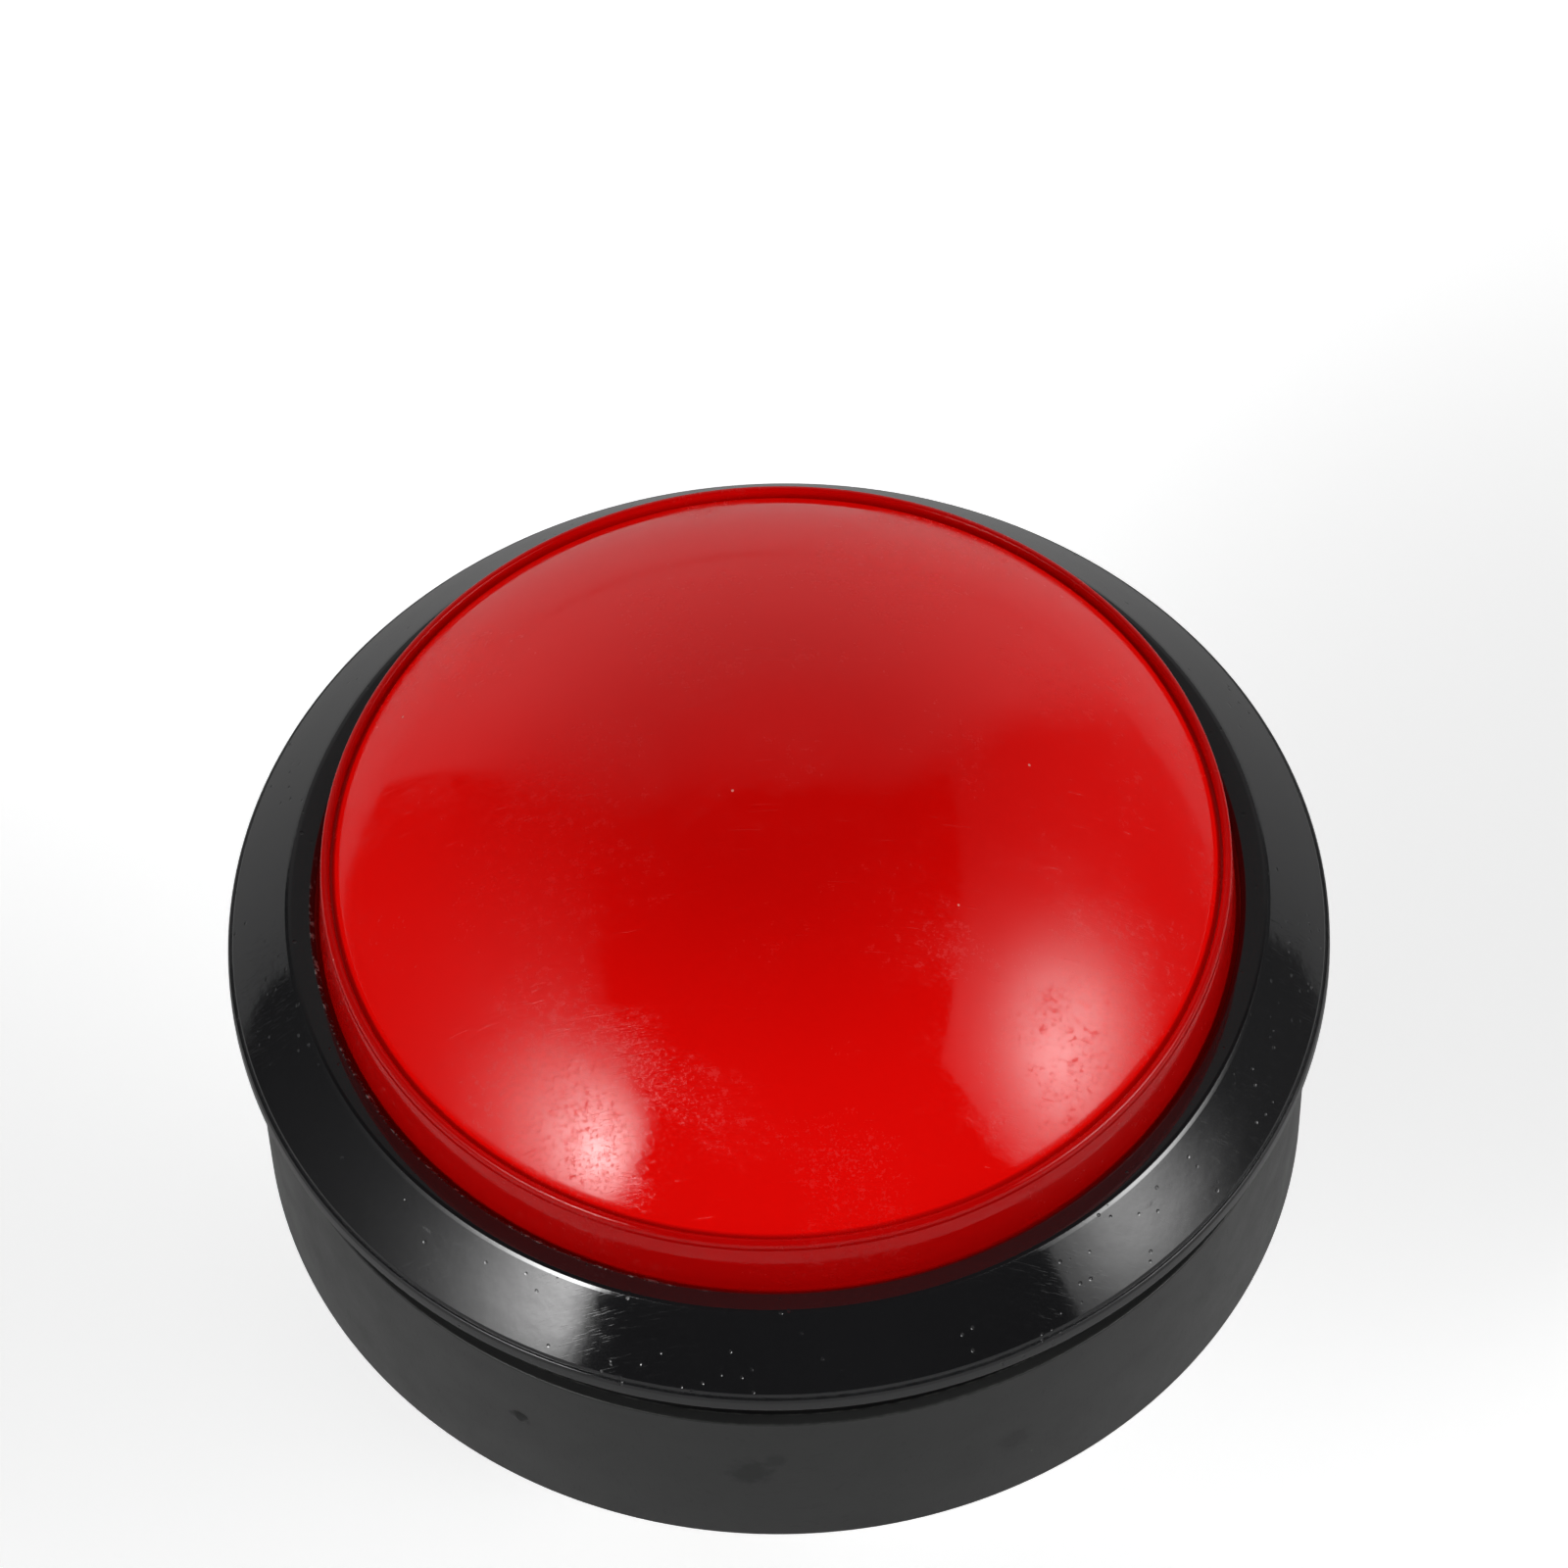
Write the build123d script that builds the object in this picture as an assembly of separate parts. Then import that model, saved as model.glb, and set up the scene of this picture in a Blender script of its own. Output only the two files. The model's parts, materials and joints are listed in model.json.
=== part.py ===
from build123d import *
import math
import os

# Big domed push-button buzzer, 100 mm class, for a 24 mm panel hole.
# Units mm.  +Z is up, out of the panel.  The origin is the centre of the plane
# in which the base sits on the panel, on the press axis.  -Y is the front.

# ----------------------------------------------------------------- dimensions
# base shell
BASE_R0 = 46.97          # outer radius on the panel
BASE_R1 = 48.15          # outer radius at the top edge of the wall
BASE_TOP = 20.2          # height of that edge
UPSTAND_R = 47.0         # recessed upstand that carries the bezel
UPSTAND_TOP = 25.15
BASE_BORE_R = 45.0       # inside of the wall
FLOOR_Z0, FLOOR_Z1 = 2.5, 4.5
SEAT_R = 43.2            # inside of the outer seating ring
HUB_R = 15.5             # outside of the inner seating ring
# neck
NECK_R = 12.0            # plain shank and thread crests
ROOT_R = 11.4            # thread roots
NECK_BORE_R = 10.05
NECK_END = -30.0
GUIDE_TOP = 12.0         # neck tube carries on inside as the plunger guide
THREAD_Z0, THREAD_Z1, PITCH = -10.0, -24.4, 1.2
# bezel ring
BEZEL_R = 50.0
BEZEL_Z0, BEZEL_BAND, BEZEL_TOP = 25.15, 27.1, 33.1
LIP_OUT_R, LIP_IN_R = 44.4, 42.0
LIP_UNDER = 31.0
BEZEL_CAVITY_R = 44.9
# screws
SCREW_PCR = 44.2
SCREW_N = 4
# dome
TRAVEL = 4.2
FLANGE_R = 44.4
FLANGE_Z0, FLANGE_Z1 = 29.4, 30.9
SKIRT_R0, SKIRT_R1 = 41.6, 41.08
RIM_Z = 39.6
CAP_R = 40.35            # outer radius of the lens cap at its edge
CAP_SEAT, CAP_EDGE = 38.4, 39.0
APEX_Z = 57.2
CAP_WALL = 2.0
# plunger
STEM_R, STEM_BORE_R = 9.6, 7.7
STEM_END = -12.0
DISC_Z0, DISC_Z1, DISC_R = 29.6, 31.6, 39.3
STOP_R, STOP_Z = 12.3, GUIDE_TOP + TRAVEL + 0.15
LEG_X0, LEG_X1, LEG_HW = -9.55, -8.05, 2.3
LEG_END = -27.4
# return spring
SPRING_R, WIRE_R, SPRING_TURNS = 14.6, 0.6, 6.5
# lamp and switch holder
TUBE_R, TUBE_BORE_R = 7.25, 5.7
TUBE_TOP, COLLAR_TOP, COLLAR_END = -10.0, -24.0, -31.0
COLLAR_R = 9.1
BODY_X0, BODY_X1, BODY_HW, BODY_END = -2.2, 7.0, 7.0, -43.0
FINGER_END = -47.6
PLATE_X0, PLATE_X1 = -3.8, -2.2
LUG_R, LUG_Z0, LUG_Z1, LUG_HALF = 11.0, -27.5, -26.1, 8.0
TWIST = 25.0             # bayonet turn, degrees
# lamp
LAMP_R, LAMP_L = 4.8, 12.6
LED_R = 2.5
# miniature microswitch
SW_LEN, SW_HGT = 27.8, 15.9
SW_Y0 = -5.8             # end near the button
SW_TOP = -32.2
SW_BACK, SW_BASE_T, SW_FRONT = -3.8, 2.4, -14.1
HOLE_R = 1.55
BUTTON_X = (SW_BACK + SW_FRONT) / 2
BUTTON_TRAVEL = 1.26
CONTACT_Y = 1.3          # contact rivets, along the switch
# nut
NUT_TOP, NUT_H, NUT_BORE_R = -12.6, 7.6, 12.25
NUT_AF, NUT_FLANGE_R = 30.0, 17.5

SW_BOT = SW_TOP - SW_HGT
SW_Y1 = SW_Y0 + SW_LEN
HOLE_A = (SW_Y1 - 2.8, SW_TOP - 2.8)
HOLE_B = (SW_Y0 + 2.8, SW_BOT + 2.8)


# -------------------------------------------------------------------- helpers
def turned(pts, arc=360.0, start=0.0):
    """Solid of revolution about Z from a closed list of (r, z) points."""
    wire = Polyline(*[(p[0], p[1]) for p in pts], close=True)
    body = revolve(Plane.XZ * make_face(wire), Axis.Z, arc)
    return Rot(0, 0, start) * body if start else body


def box(x0, x1, y0, y1, z0, z1):
    return Pos((x0 + x1) / 2, (y0 + y1) / 2, (z0 + z1) / 2) * Box(
        abs(x1 - x0), abs(y1 - y0), abs(z1 - z0))


def cyl(r, z0, z1, x=0.0, y=0.0):
    return Pos(x, y, (z0 + z1) / 2) * Cylinder(r, abs(z1 - z0))


def cyl_x(r, x0, x1, y, z):
    return Pos((x0 + x1) / 2, y, z) * Rot(0, 90, 0) * Cylinder(r, abs(x1 - x0))


def polar(r, deg):
    a = math.radians(deg)
    return r * math.cos(a), r * math.sin(a)


def arc_pts(cx, cz, r, a0, a1, n):
    out = []
    for i in range(n + 1):
        a = math.radians(a0 + (a1 - a0) * i / n)
        out.append((cx + r * math.cos(a), cz + r * math.sin(a)))
    return out


def plate_x(pts_yz, x0, x1):
    """Flat plate with outline (y, z), from x0 to x1."""
    face = Plane.YZ.offset(x0) * make_face(Polyline(*pts_yz, close=True))
    return extrude(face, x1 - x0)


def rounded_x(y0, y1, z0, z1, rad, x0, x1):
    sk = Plane.YZ.offset(x0) * Pos((y0 + y1) / 2, (z0 + z1) / 2) * RectangleRounded(
        abs(y1 - y0), abs(z1 - z0), rad)
    return extrude(sk, x1 - x0)


parts = {}
SCREW_AZ = [45 + 90 * i for i in range(SCREW_N)]

# ----------------------------------------------------------------- base shell
prof = [(SEAT_R, 0.0), (46.75, 0.0), (BASE_R0, 0.22), (BASE_R1 - 0.02, BASE_TOP - 0.35),
        (BASE_R1 - 0.1, BASE_TOP - 0.12), (BASE_R1 - 0.32, BASE_TOP),
        (UPSTAND_R, BASE_TOP), (UPSTAND_R, UPSTAND_TOP), (BASE_BORE_R, UPSTAND_TOP),
        (BASE_BORE_R, FLOOR_Z1), (NECK_R, FLOOR_Z1), (NECK_R, GUIDE_TOP),
        (NECK_BORE_R, GUIDE_TOP), (NECK_BORE_R, NECK_END), (ROOT_R - 0.3, NECK_END),
        (ROOT_R, NECK_END + 0.4), (ROOT_R, THREAD_Z1)]
z = THREAD_Z1
while z < THREAD_Z0 - 1e-6:
    prof += [(NECK_R - 0.02, z + 0.45), (NECK_R - 0.02, z + 0.65), (ROOT_R, z + 1.1),
             (ROOT_R, z + PITCH)]
    z += PITCH
prof += [(NECK_R, THREAD_Z0 + 0.35), (NECK_R, 0.0), (HUB_R, 0.0), (HUB_R, FLOOR_Z0),
         (SEAT_R, FLOOR_Z0)]
base = turned(prof)
# radial ribs under the floor, standing just clear of the panel
for i in range(8):
    rib = box(HUB_R - 0.3, SEAT_R + 0.3, -0.8, 0.8, 0.4, FLOOR_Z0 + 0.2)
    base += Rot(0, 0, 22.5 + 45 * i) * rib
ring = turned([(29.0, 0.4), (30.6, 0.4), (30.6, FLOOR_Z0 + 0.2), (29.0, FLOOR_Z0 + 0.2)])
base += ring
# screw bosses, screw recesses and the notches that take the bezel's posts
for a in SCREW_AZ:
    x, y = polar(SCREW_PCR, a)
    base += cyl(2.4, FLOOR_Z0, BASE_TOP, x, y)
    base += Rot(0, 0, a) * box(40.6, 44.0, -2.6, 2.6, 0.0, FLOOR_Z0 + 0.2)
for a in SCREW_AZ:
    x, y = polar(SCREW_PCR, a)
    base -= cyl(1.35, -1.0, BASE_TOP + 1.0, x, y)
    base -= cyl(2.1, -1.0, 2.6, x, y)
    base -= cyl(2.2, BASE_TOP, UPSTAND_TOP + 1.0, x, y)
# L-shaped slots of the bayonet in the end of the neck
for a in (90.0, 270.0):
    base -= turned([(NECK_BORE_R - 0.6, LUG_Z0 - 0.15), (NECK_R + 1, LUG_Z0 - 0.15),
                    (NECK_R + 1, LUG_Z1 + 0.15), (NECK_BORE_R - 0.6, LUG_Z1 + 0.15)],
                   TWIST + 2 * LUG_HALF + 3.0, a - LUG_HALF - 1.5)
    base -= turned([(NECK_BORE_R - 0.6, NECK_END - 1.0), (NECK_R + 1, NECK_END - 1.0),
                    (NECK_R + 1, LUG_Z1 - 0.3), (NECK_BORE_R - 0.6, LUG_Z1 - 0.3)],
                   2 * LUG_HALF + 3.0, a + TWIST - LUG_HALF - 1.5)
# key slot in the guide tube that keeps the plunger from turning
base -= box(-NECK_R - 1, -NECK_BORE_R + 0.6, -1.3, 1.3, FLOOR_Z1 + 1.0, GUIDE_TOP + 1)
parts["base_shell"] = base

# ----------------------------------------------------------------- bezel ring
prof = [(BEZEL_CAVITY_R, BEZEL_Z0), (BEZEL_R - 0.3, BEZEL_Z0), (BEZEL_R - 0.08, BEZEL_Z0 + 0.1),
        (BEZEL_R, BEZEL_Z0 + 0.32), (BEZEL_R, BEZEL_BAND - 0.25), (BEZEL_R - 0.1, BEZEL_BAND - 0.02),
        (BEZEL_R - 0.35, BEZEL_BAND + 0.3), (LIP_OUT_R + 0.35, BEZEL_TOP - 0.37),
        (LIP_OUT_R + 0.15, BEZEL_TOP - 0.18), (LIP_OUT_R - 0.12, BEZEL_TOP - 0.04),
        (LIP_OUT_R - 0.4, BEZEL_TOP), (LIP_IN_R + 0.3, BEZEL_TOP), (LIP_IN_R + 0.08, BEZEL_TOP - 0.09),
        (LIP_IN_R, BEZEL_TOP - 0.3), (LIP_IN_R, LIP_UNDER + 0.3), (LIP_IN_R + 0.3, LIP_UNDER),
        (BEZEL_CAVITY_R, LIP_UNDER)]
bezel = turned(prof)
for a in SCREW_AZ:
    x, y = polar(SCREW_PCR, a)
    bezel += cyl(2.1, BASE_TOP, LIP_UNDER + 0.1, x, y)
for a in SCREW_AZ:
    x, y = polar(SCREW_PCR, a)
    bezel -= cyl(1.1, BASE_TOP - 1, LIP_UNDER - 1.2, x, y)
parts["bezel_ring"] = bezel

# --------------------------------------------------------------- bezel screws
screws = []
for a in SCREW_AZ:
    x, y = polar(SCREW_PCR, a)
    s = cyl(1.9, 0.7, 2.6, x, y) + cyl(1.08, 2.6, 29.0, x, y)
    s -= Pos(x, y, 0.7) * Rot(0, 0, a) * Box(2.4, 0.5, 1.6)
    s -= Pos(x, y, 0.7) * Rot(0, 0, a) * Box(0.5, 2.4, 1.6)
    screws.append(s)
parts["bezel_screws"] = Compound(children=[s.solids()[0] for s in screws])

# ----------------------------------------------------------------- dome skirt
prof = [(39.4, FLANGE_Z0), (FLANGE_R, FLANGE_Z0), (FLANGE_R, FLANGE_Z1), (SKIRT_R0, FLANGE_Z1),
        (SKIRT_R0, 33.1), (SKIRT_R1 + 0.02, 38.7), (SKIRT_R1 + 0.06, 38.95),
        (SKIRT_R1 + 0.07, 39.2), (SKIRT_R1 - 0.02, 39.42), (SKIRT_R1 - 0.18, RIM_Z - 0.04),
        (SKIRT_R1 - 0.36, RIM_Z - 0.03), (SKIRT_R1 - 0.52, RIM_Z - 0.18),
        (CAP_R + 0.12, RIM_Z - 0.4), (CAP_R + 0.12, CAP_SEAT), (39.4, CAP_SEAT), (39.4, 32.6), (37.8, 32.6),
        (37.8, DISC_Z1), (39.4, DISC_Z1)]
skirt = turned(prof)
for a in SCREW_AZ:
    x, y = polar(SCREW_PCR, a)
    skirt -= cyl(2.6, FLANGE_Z0 - 1, FLANGE_Z1, x, y)
parts["dome_skirt"] = skirt

# ------------------------------------------------------------------- dome cap
rise = APEX_Z - CAP_EDGE
R_cap = (CAP_R ** 2 + rise ** 2) / (2 * rise)
zc = APEX_Z - R_cap
r_in = R_cap - CAP_WALL
r_in_seat = math.sqrt(r_in ** 2 - (CAP_SEAT - zc) ** 2)
am = math.radians(65)
outer = ThreePointArc((CAP_R, CAP_EDGE), (R_cap * math.cos(am), zc + R_cap * math.sin(am)), (0, APEX_Z))
inner = ThreePointArc((0, APEX_Z - CAP_WALL), (r_in * math.cos(am), zc + r_in * math.sin(am)),
                      (r_in_seat, CAP_SEAT))
edges = [outer, Line((0, APEX_Z), (0, APEX_Z - CAP_WALL)), inner,
         Line((r_in_seat, CAP_SEAT), (CAP_R, CAP_SEAT)), Line((CAP_R, CAP_SEAT), (CAP_R, CAP_EDGE))]
cap = revolve(Plane.XZ * make_face(Curve() + edges), Axis.Z, 360)
parts["dome_cap"] = cap

# ------------------------------------------------------------ plunger carrier
prof = [(STEM_BORE_R, STEM_END), (STEM_R - 0.3, STEM_END), (STEM_R, STEM_END + 0.3), (STEM_R, STOP_Z),
        (STOP_R, STOP_Z), (STOP_R, DISC_Z0), (DISC_R, DISC_Z0), (DISC_R, DISC_Z1),
        (STEM_BORE_R, DISC_Z1)]
carrier = turned(prof)
for i in range(6):
    carrier += Rot(0, 0, 30 + 60 * i) * box(16.2, 38.0, -0.8, 0.8, 26.0, DISC_Z0 + 0.1)
carrier += turned([(37.0, 27.5), (38.4, 27.5), (38.4, DISC_Z0 + 0.1), (37.0, DISC_Z0 + 0.1)])
# key that runs in the guide tube's slot
carrier += box(-11.6, -STEM_R + 0.4, -0.9, 0.9, FLOOR_Z1 + 1.0 + TRAVEL + 0.5, STOP_Z + 0.2)
# leg that works the microswitch
leg = box(LEG_X0, LEG_X1, -LEG_HW, LEG_HW, LEG_END, STEM_END + 3.0)
leg = leg & cyl(STEM_R, LEG_END - 1, STEM_END + 4)
carrier += leg
# open light windows through the disc, between the ribs
for i in range(6):
    win = turned([(18.0, DISC_Z0 - 1), (35.0, DISC_Z0 - 1), (35.0, DISC_Z1 + 1), (18.0, DISC_Z1 + 1)],
                 40.0, 60 * i - 20)
    carrier -= win
parts["plunger_carrier"] = carrier

# -------------------------------------------------------------- return spring
sp_h = DISC_Z0 - FLOOR_Z1 - 2 * WIRE_R - 0.04
helix = Helix(pitch=sp_h / SPRING_TURNS, height=sp_h, radius=SPRING_R)
helix = Pos(0, 0, FLOOR_Z1 + WIRE_R + 0.02) * helix
spring = sweep(Plane(origin=helix @ 0, z_dir=-(helix % 0)) * Circle(WIRE_R), path=helix)
parts["return_spring"] = spring

# --------------------------------------------------------------- mounting nut
nut = turned([(NUT_BORE_R, NUT_TOP), (NUT_FLANGE_R, NUT_TOP), (NUT_FLANGE_R, NUT_TOP - 1.6),
              (NUT_BORE_R, NUT_TOP - 1.6)])
hexa = extrude(Plane.XY.offset(NUT_TOP - NUT_H) * RegularPolygon(NUT_AF / 2, 6, major_radius=False), NUT_H - 1.0)
hexa &= turned([(0, NUT_TOP - NUT_H), (NUT_AF / 2 + 0.3, NUT_TOP - NUT_H), (NUT_AF / 2 + 2.6, NUT_TOP - NUT_H + 1.3),
                (NUT_AF / 2 + 2.6, NUT_TOP), (0, NUT_TOP)])
nut += hexa
nut -= cyl(NUT_BORE_R, NUT_TOP - NUT_H - 1, NUT_TOP + 1)
for zz in (NUT_TOP - NUT_H, NUT_TOP):
    s = 1 if zz == NUT_TOP else -1
    nut -= turned([(0, zz + s * 0.5), (NUT_BORE_R + 1.1, zz + s * 0.5), (NUT_BORE_R + 0.6, zz), (NUT_BORE_R, zz - s * 0.6),
                   (0, zz - s * 0.6)])
parts["mounting_nut"] = nut

# ------------------------------------------------------- lamp contacts (steel)
def contact(side):
    """Sheet contact on one side of the lamp socket; side +1 front, -1 rear."""
    t = 0.6
    x0 = 1.2 if side > 0 else -1.8
    x1 = x0 + t
    c = box(x0, x1, -2.1, 2.1, -44.0, -12.4)
    # sprung V at the top, bent away from the socket's middle
    lip = Polyline((x0, -12.6), (x0 + side * 1.4, -11.0), (x1 + side * 1.4, -11.0), (x1, -12.6), close=True)
    c += extrude(Plane.XZ * make_face(lip), 1.6, both=True)
    if side > 0:
        tx0, tx1 = 4.4, 5.0
        c += box(x0, tx1, -2.1, 2.1, -44.6, -44.0)
    else:
        tx0, tx1 = x0, x1
    # tab with cut corners, barbed shoulder and hole
    zt, zb = -44.0 if side < 0 else -44.6, -52.0
    pts = [(-2.1, -43.4 if side < 0 else -44.0), (-2.1, zt - 0.4), (-3.15, zt - 1.2), (-3.15, zb + 1.5), (-1.8, zb),
           (1.8, zb), (3.15, zb + 1.5), (3.15, zt - 1.2), (2.1, zt - 0.4), (2.1, -43.4 if side < 0 else -44.0)]
    c += plate_x(pts, tx0, tx1)
    c -= cyl_x(1.65, tx0 - 1, tx1 + 1, 0, -48.6)
    return c


parts["lamp_contact_front"] = contact(+1)
parts["lamp_contact_rear"] = contact(-1)

# ---------------------------------------------------------------- lamp holder
holder = cyl(TUBE_R, COLLAR_TOP, TUBE_TOP)
holder += turned([(0, COLLAR_END), (COLLAR_R - 0.4, COLLAR_END), (COLLAR_R, COLLAR_END + 0.4), (COLLAR_R, COLLAR_TOP - 0.5),
                  (COLLAR_R - 0.5, COLLAR_TOP), (0, COLLAR_TOP)])
# locking lugs
for a in (90.0, 270.0):
    holder += turned([(COLLAR_R - 1.0, LUG_Z0), (LUG_R, LUG_Z0), (LUG_R, LUG_Z1), (COLLAR_R - 1.0, LUG_Z1)],
                     2 * LUG_HALF, a - LUG_HALF)
# locating ribs on the collar
for a in (30.0, -30.0):
    holder += Rot(0, 0, a) * box(COLLAR_R - 1.0, COLLAR_R + 0.5, -0.7, 0.7, COLLAR_END + 0.6, COLLAR_TOP - 1.2)
# lower body, flat at the back, rounded at the front corners
low = box(BODY_X0, BODY_X1, -BODY_HW, BODY_HW, BODY_END, COLLAR_END + 0.2)
low = low & (box(BODY_X0, 4.2, -BODY_HW, BODY_HW, BODY_END, COLLAR_END + 0.2)
             + cyl(2.8, BODY_END, COLLAR_END + 0.2, 4.2, 4.2) + cyl(2.8, BODY_END, COLLAR_END + 0.2, 4.2, -4.2)
             + box(4.0, BODY_X1, -4.2, 4.2, BODY_END, COLLAR_END + 0.2))
holder += low
# side ribs of the lower body
for s in (-1, 1):
    holder += box(BODY_X0, 2.2, s * 6.8, s * 8.2, BODY_END + 3.0, COLLAR_END + 0.2)
# rounded fingers beside the terminals
for s in (-1, 1):
    f = box(BODY_X0, 4.6, s * 4.4, s * 7.0, FINGER_END + 1.3, BODY_END + 0.2)
    f += cyl_x(1.3, BODY_X0, 4.6, s * 5.7, FINGER_END + 1.3)
    holder += f
# back plate: wide wing, small wing and the strip behind the body
wing = [(5.0, -31.3), (21.3, -32.6), (21.8, -33.4), (21.0, -44.2), (14.4, -48.6), (5.0, -46.9)]
holder += plate_x(wing, PLATE_X0, PLATE_X1)
holder += plate_x([(-14.0, -33.0), (-5.0, -32.2), (-5.0, -38.4), (-14.0, -37.4)], PLATE_X0, PLATE_X1)
holder += box(PLATE_X0, PLATE_X1, -5.6, 5.6, -46.9, COLLAR_END + 0.2)
# pegs that carry the microswitch
for (py, pz) in (HOLE_A, HOLE_B):
    holder += cyl_x(1.45, SW_FRONT - 0.9, PLATE_X1 - 0.2, py, pz)
# hollow of the tube and the slot in its end
holder -= cyl(TUBE_BORE_R, COLLAR_TOP + 1.0, TUBE_TOP - 1.8)
holder -= box(-1.7, 1.7, -3.3, 3.3, TUBE_TOP - 2.5, TUBE_TOP + 1.0)
holder -= box(-3.5, 3.5, -1.75, 1.75, TUBE_TOP - 2.5, TUBE_TOP + 1.0)
# window over the front contact's barb and relief behind it
holder -= box(1.8, BODY_X1 + 1, -1.6, 1.6, -38.2, -34.6)
# passages for the contacts
holder -= box(1.2, 1.8, -2.1, 2.1, BODY_END - 1, COLLAR_TOP + 1.5)
holder -= box(-1.8, -1.2, -2.1, 2.1, BODY_END - 1, COLLAR_TOP + 1.5)
# notch in the collar that lets the plunger's leg pass through the whole turn
notch = turned([(7.5, COLLAR_END - 1), (12.0, COLLAR_END - 1), (12.0, COLLAR_TOP + 1), (7.5, COLLAR_TOP + 1)],
               TWIST + 42.0, 180 - TWIST - 21.0)
holder -= notch
parts["lamp_holder"] = holder

# ----------------------------------------------------------------------- lamp
LZ0 = TUBE_TOP
lamp = cyl(LAMP_R, LZ0, LZ0 + LAMP_L)
lamp -= cyl(1.9, LZ0 + LAMP_L - 6.0, LZ0 + LAMP_L + 1)
wedge = box(-0.9, 0.9, -2.45, 2.45, LZ0 - 9.7, LZ0 + 0.2)
wedge += box(-0.9, 0.9, -3.0, 3.0, LZ0 - 2.4, LZ0 + 0.2)
wedge += plate_x([(-2.45, LZ0 - 9.7), (2.45, LZ0 - 9.7), (1.4, LZ0 - 11.2), (-1.4, LZ0 - 11.2)], -0.9, 0.9)
# grooves for the folded leads
for s in (-1, 1):
    wedge -= box(s * 0.62, s * 1.0, s * 1.15 - 0.35, s * 1.15 + 0.35, LZ0 - 12.0, LZ0)
lamp += wedge
lamp -= cyl(0.3, LZ0 - 0.5, LZ0 + LAMP_L - 5.5, 0.93, 1.15)
lamp -= cyl(0.3, LZ0 - 0.5, LZ0 + LAMP_L - 5.5, -0.93, -1.15)
lamp -= cyl(LED_R + 0.35, LZ0 + LAMP_L - 0.7, LZ0 + LAMP_L + 1)
parts["lamp_body"] = lamp

led = cyl(LED_R + 0.3, LZ0 + LAMP_L - 0.7, LZ0 + LAMP_L + 0.1) + cyl(LED_R, LZ0 + LAMP_L, LZ0 + LAMP_L + 3.3)
led -= turned([(0, LZ0 + LAMP_L + 2.9), (1.3, LZ0 + LAMP_L + 3.0), (1.7, LZ0 + LAMP_L + 3.4), (0, LZ0 + LAMP_L + 3.4)])
parts["lamp_led"] = led

leads = []
for s in (-1, 1):
    w = cyl(0.25, LZ0 - 9.9, LZ0 + LAMP_L - 6.0, s * 0.93, s * 1.15)
    w += Pos(s * 0.4, s * 1.15, LZ0 - 11.45) * Rot(0, 90, 0) * Cylinder(0.25, 1.3)
    w += Pos(s * 0.93, s * 1.15, LZ0 - 10.7) * Cylinder(0.25, 1.7)
    leads.append(w)
parts["lamp_leads"] = Compound(children=[s.solids()[0] for s in leads])

# ---------------------------------------------------------------- microswitch
X_SEAM = SW_BACK - SW_BASE_T
sbase = rounded_x(SW_Y0, SW_Y1, SW_BOT, SW_TOP, 2.2, X_SEAM, SW_BACK)
cover = rounded_x(SW_Y0 + 0.15, SW_Y1 - 0.15, SW_BOT + 0.15, SW_TOP - 0.15, 2.2, SW_FRONT, X_SEAM)
rim = cover.faces().sort_by(Axis.X)[0].edges()
cover = fillet(rim, 0.45)
cover -= rounded_x(SW_Y0 + 1.35, SW_Y1 - 1.35, SW_BOT + 1.35, SW_TOP - 1.35, 1.0, SW_FRONT + 1.3, X_SEAM)
for (py, pz) in (HOLE_A, HOLE_B):
    boss = cyl_x(2.6, SW_FRONT + 0.5, X_SEAM, py, pz)
    cover += boss & rounded_x(SW_Y0 + 0.3, SW_Y1 - 0.3, SW_BOT + 0.3, SW_TOP - 0.3, 2.0, SW_FRONT, X_SEAM)
    cover -= cyl_x(HOLE_R, SW_FRONT - 1, SW_BACK + 1, py, pz)
    cover -= cyl_x(2.75, SW_FRONT - 1, SW_FRONT + 0.35, py, pz)
    sbase -= cyl_x(HOLE_R, SW_FRONT - 1, SW_BACK + 1, py, pz)
# passages for the button and the terminals
cover -= cyl(1.57, SW_TOP - 1.6, SW_TOP + 1, BUTTON_X, 0)
COM_X0, COM_X1, COM_Z0, COM_Z1 = -9.4, -8.6, -42.6, -37.8
NO_X0, NO_X1, NO_Y0, NO_Y1 = -11.6, -6.8, 8.6, 9.4
cover -= box(COM_X0, COM_X1, SW_Y1 - 2.0, SW_Y1 + 1, COM_Z0, COM_Z1)
cover -= box(NO_X0, NO_X1, NO_Y0, NO_Y1, SW_BOT - 1, SW_BOT + 2.0)
parts["switch_cover"] = cover
parts["switch_base"] = sbase

btn = cyl(1.5, SW_TOP - 1.45, SW_TOP + 0.3, BUTTON_X, 0)
btn += (Pos(BUTTON_X, 0, SW_TOP + 0.3) * Sphere(1.5)) & cyl(1.5, SW_TOP + 0.3, SW_TOP + 1.9, BUTTON_X, 0)
btn += cyl(2.1, SW_TOP - 2.45, SW_TOP - 1.45, BUTTON_X, 0)
parts["switch_button"] = btn

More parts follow.
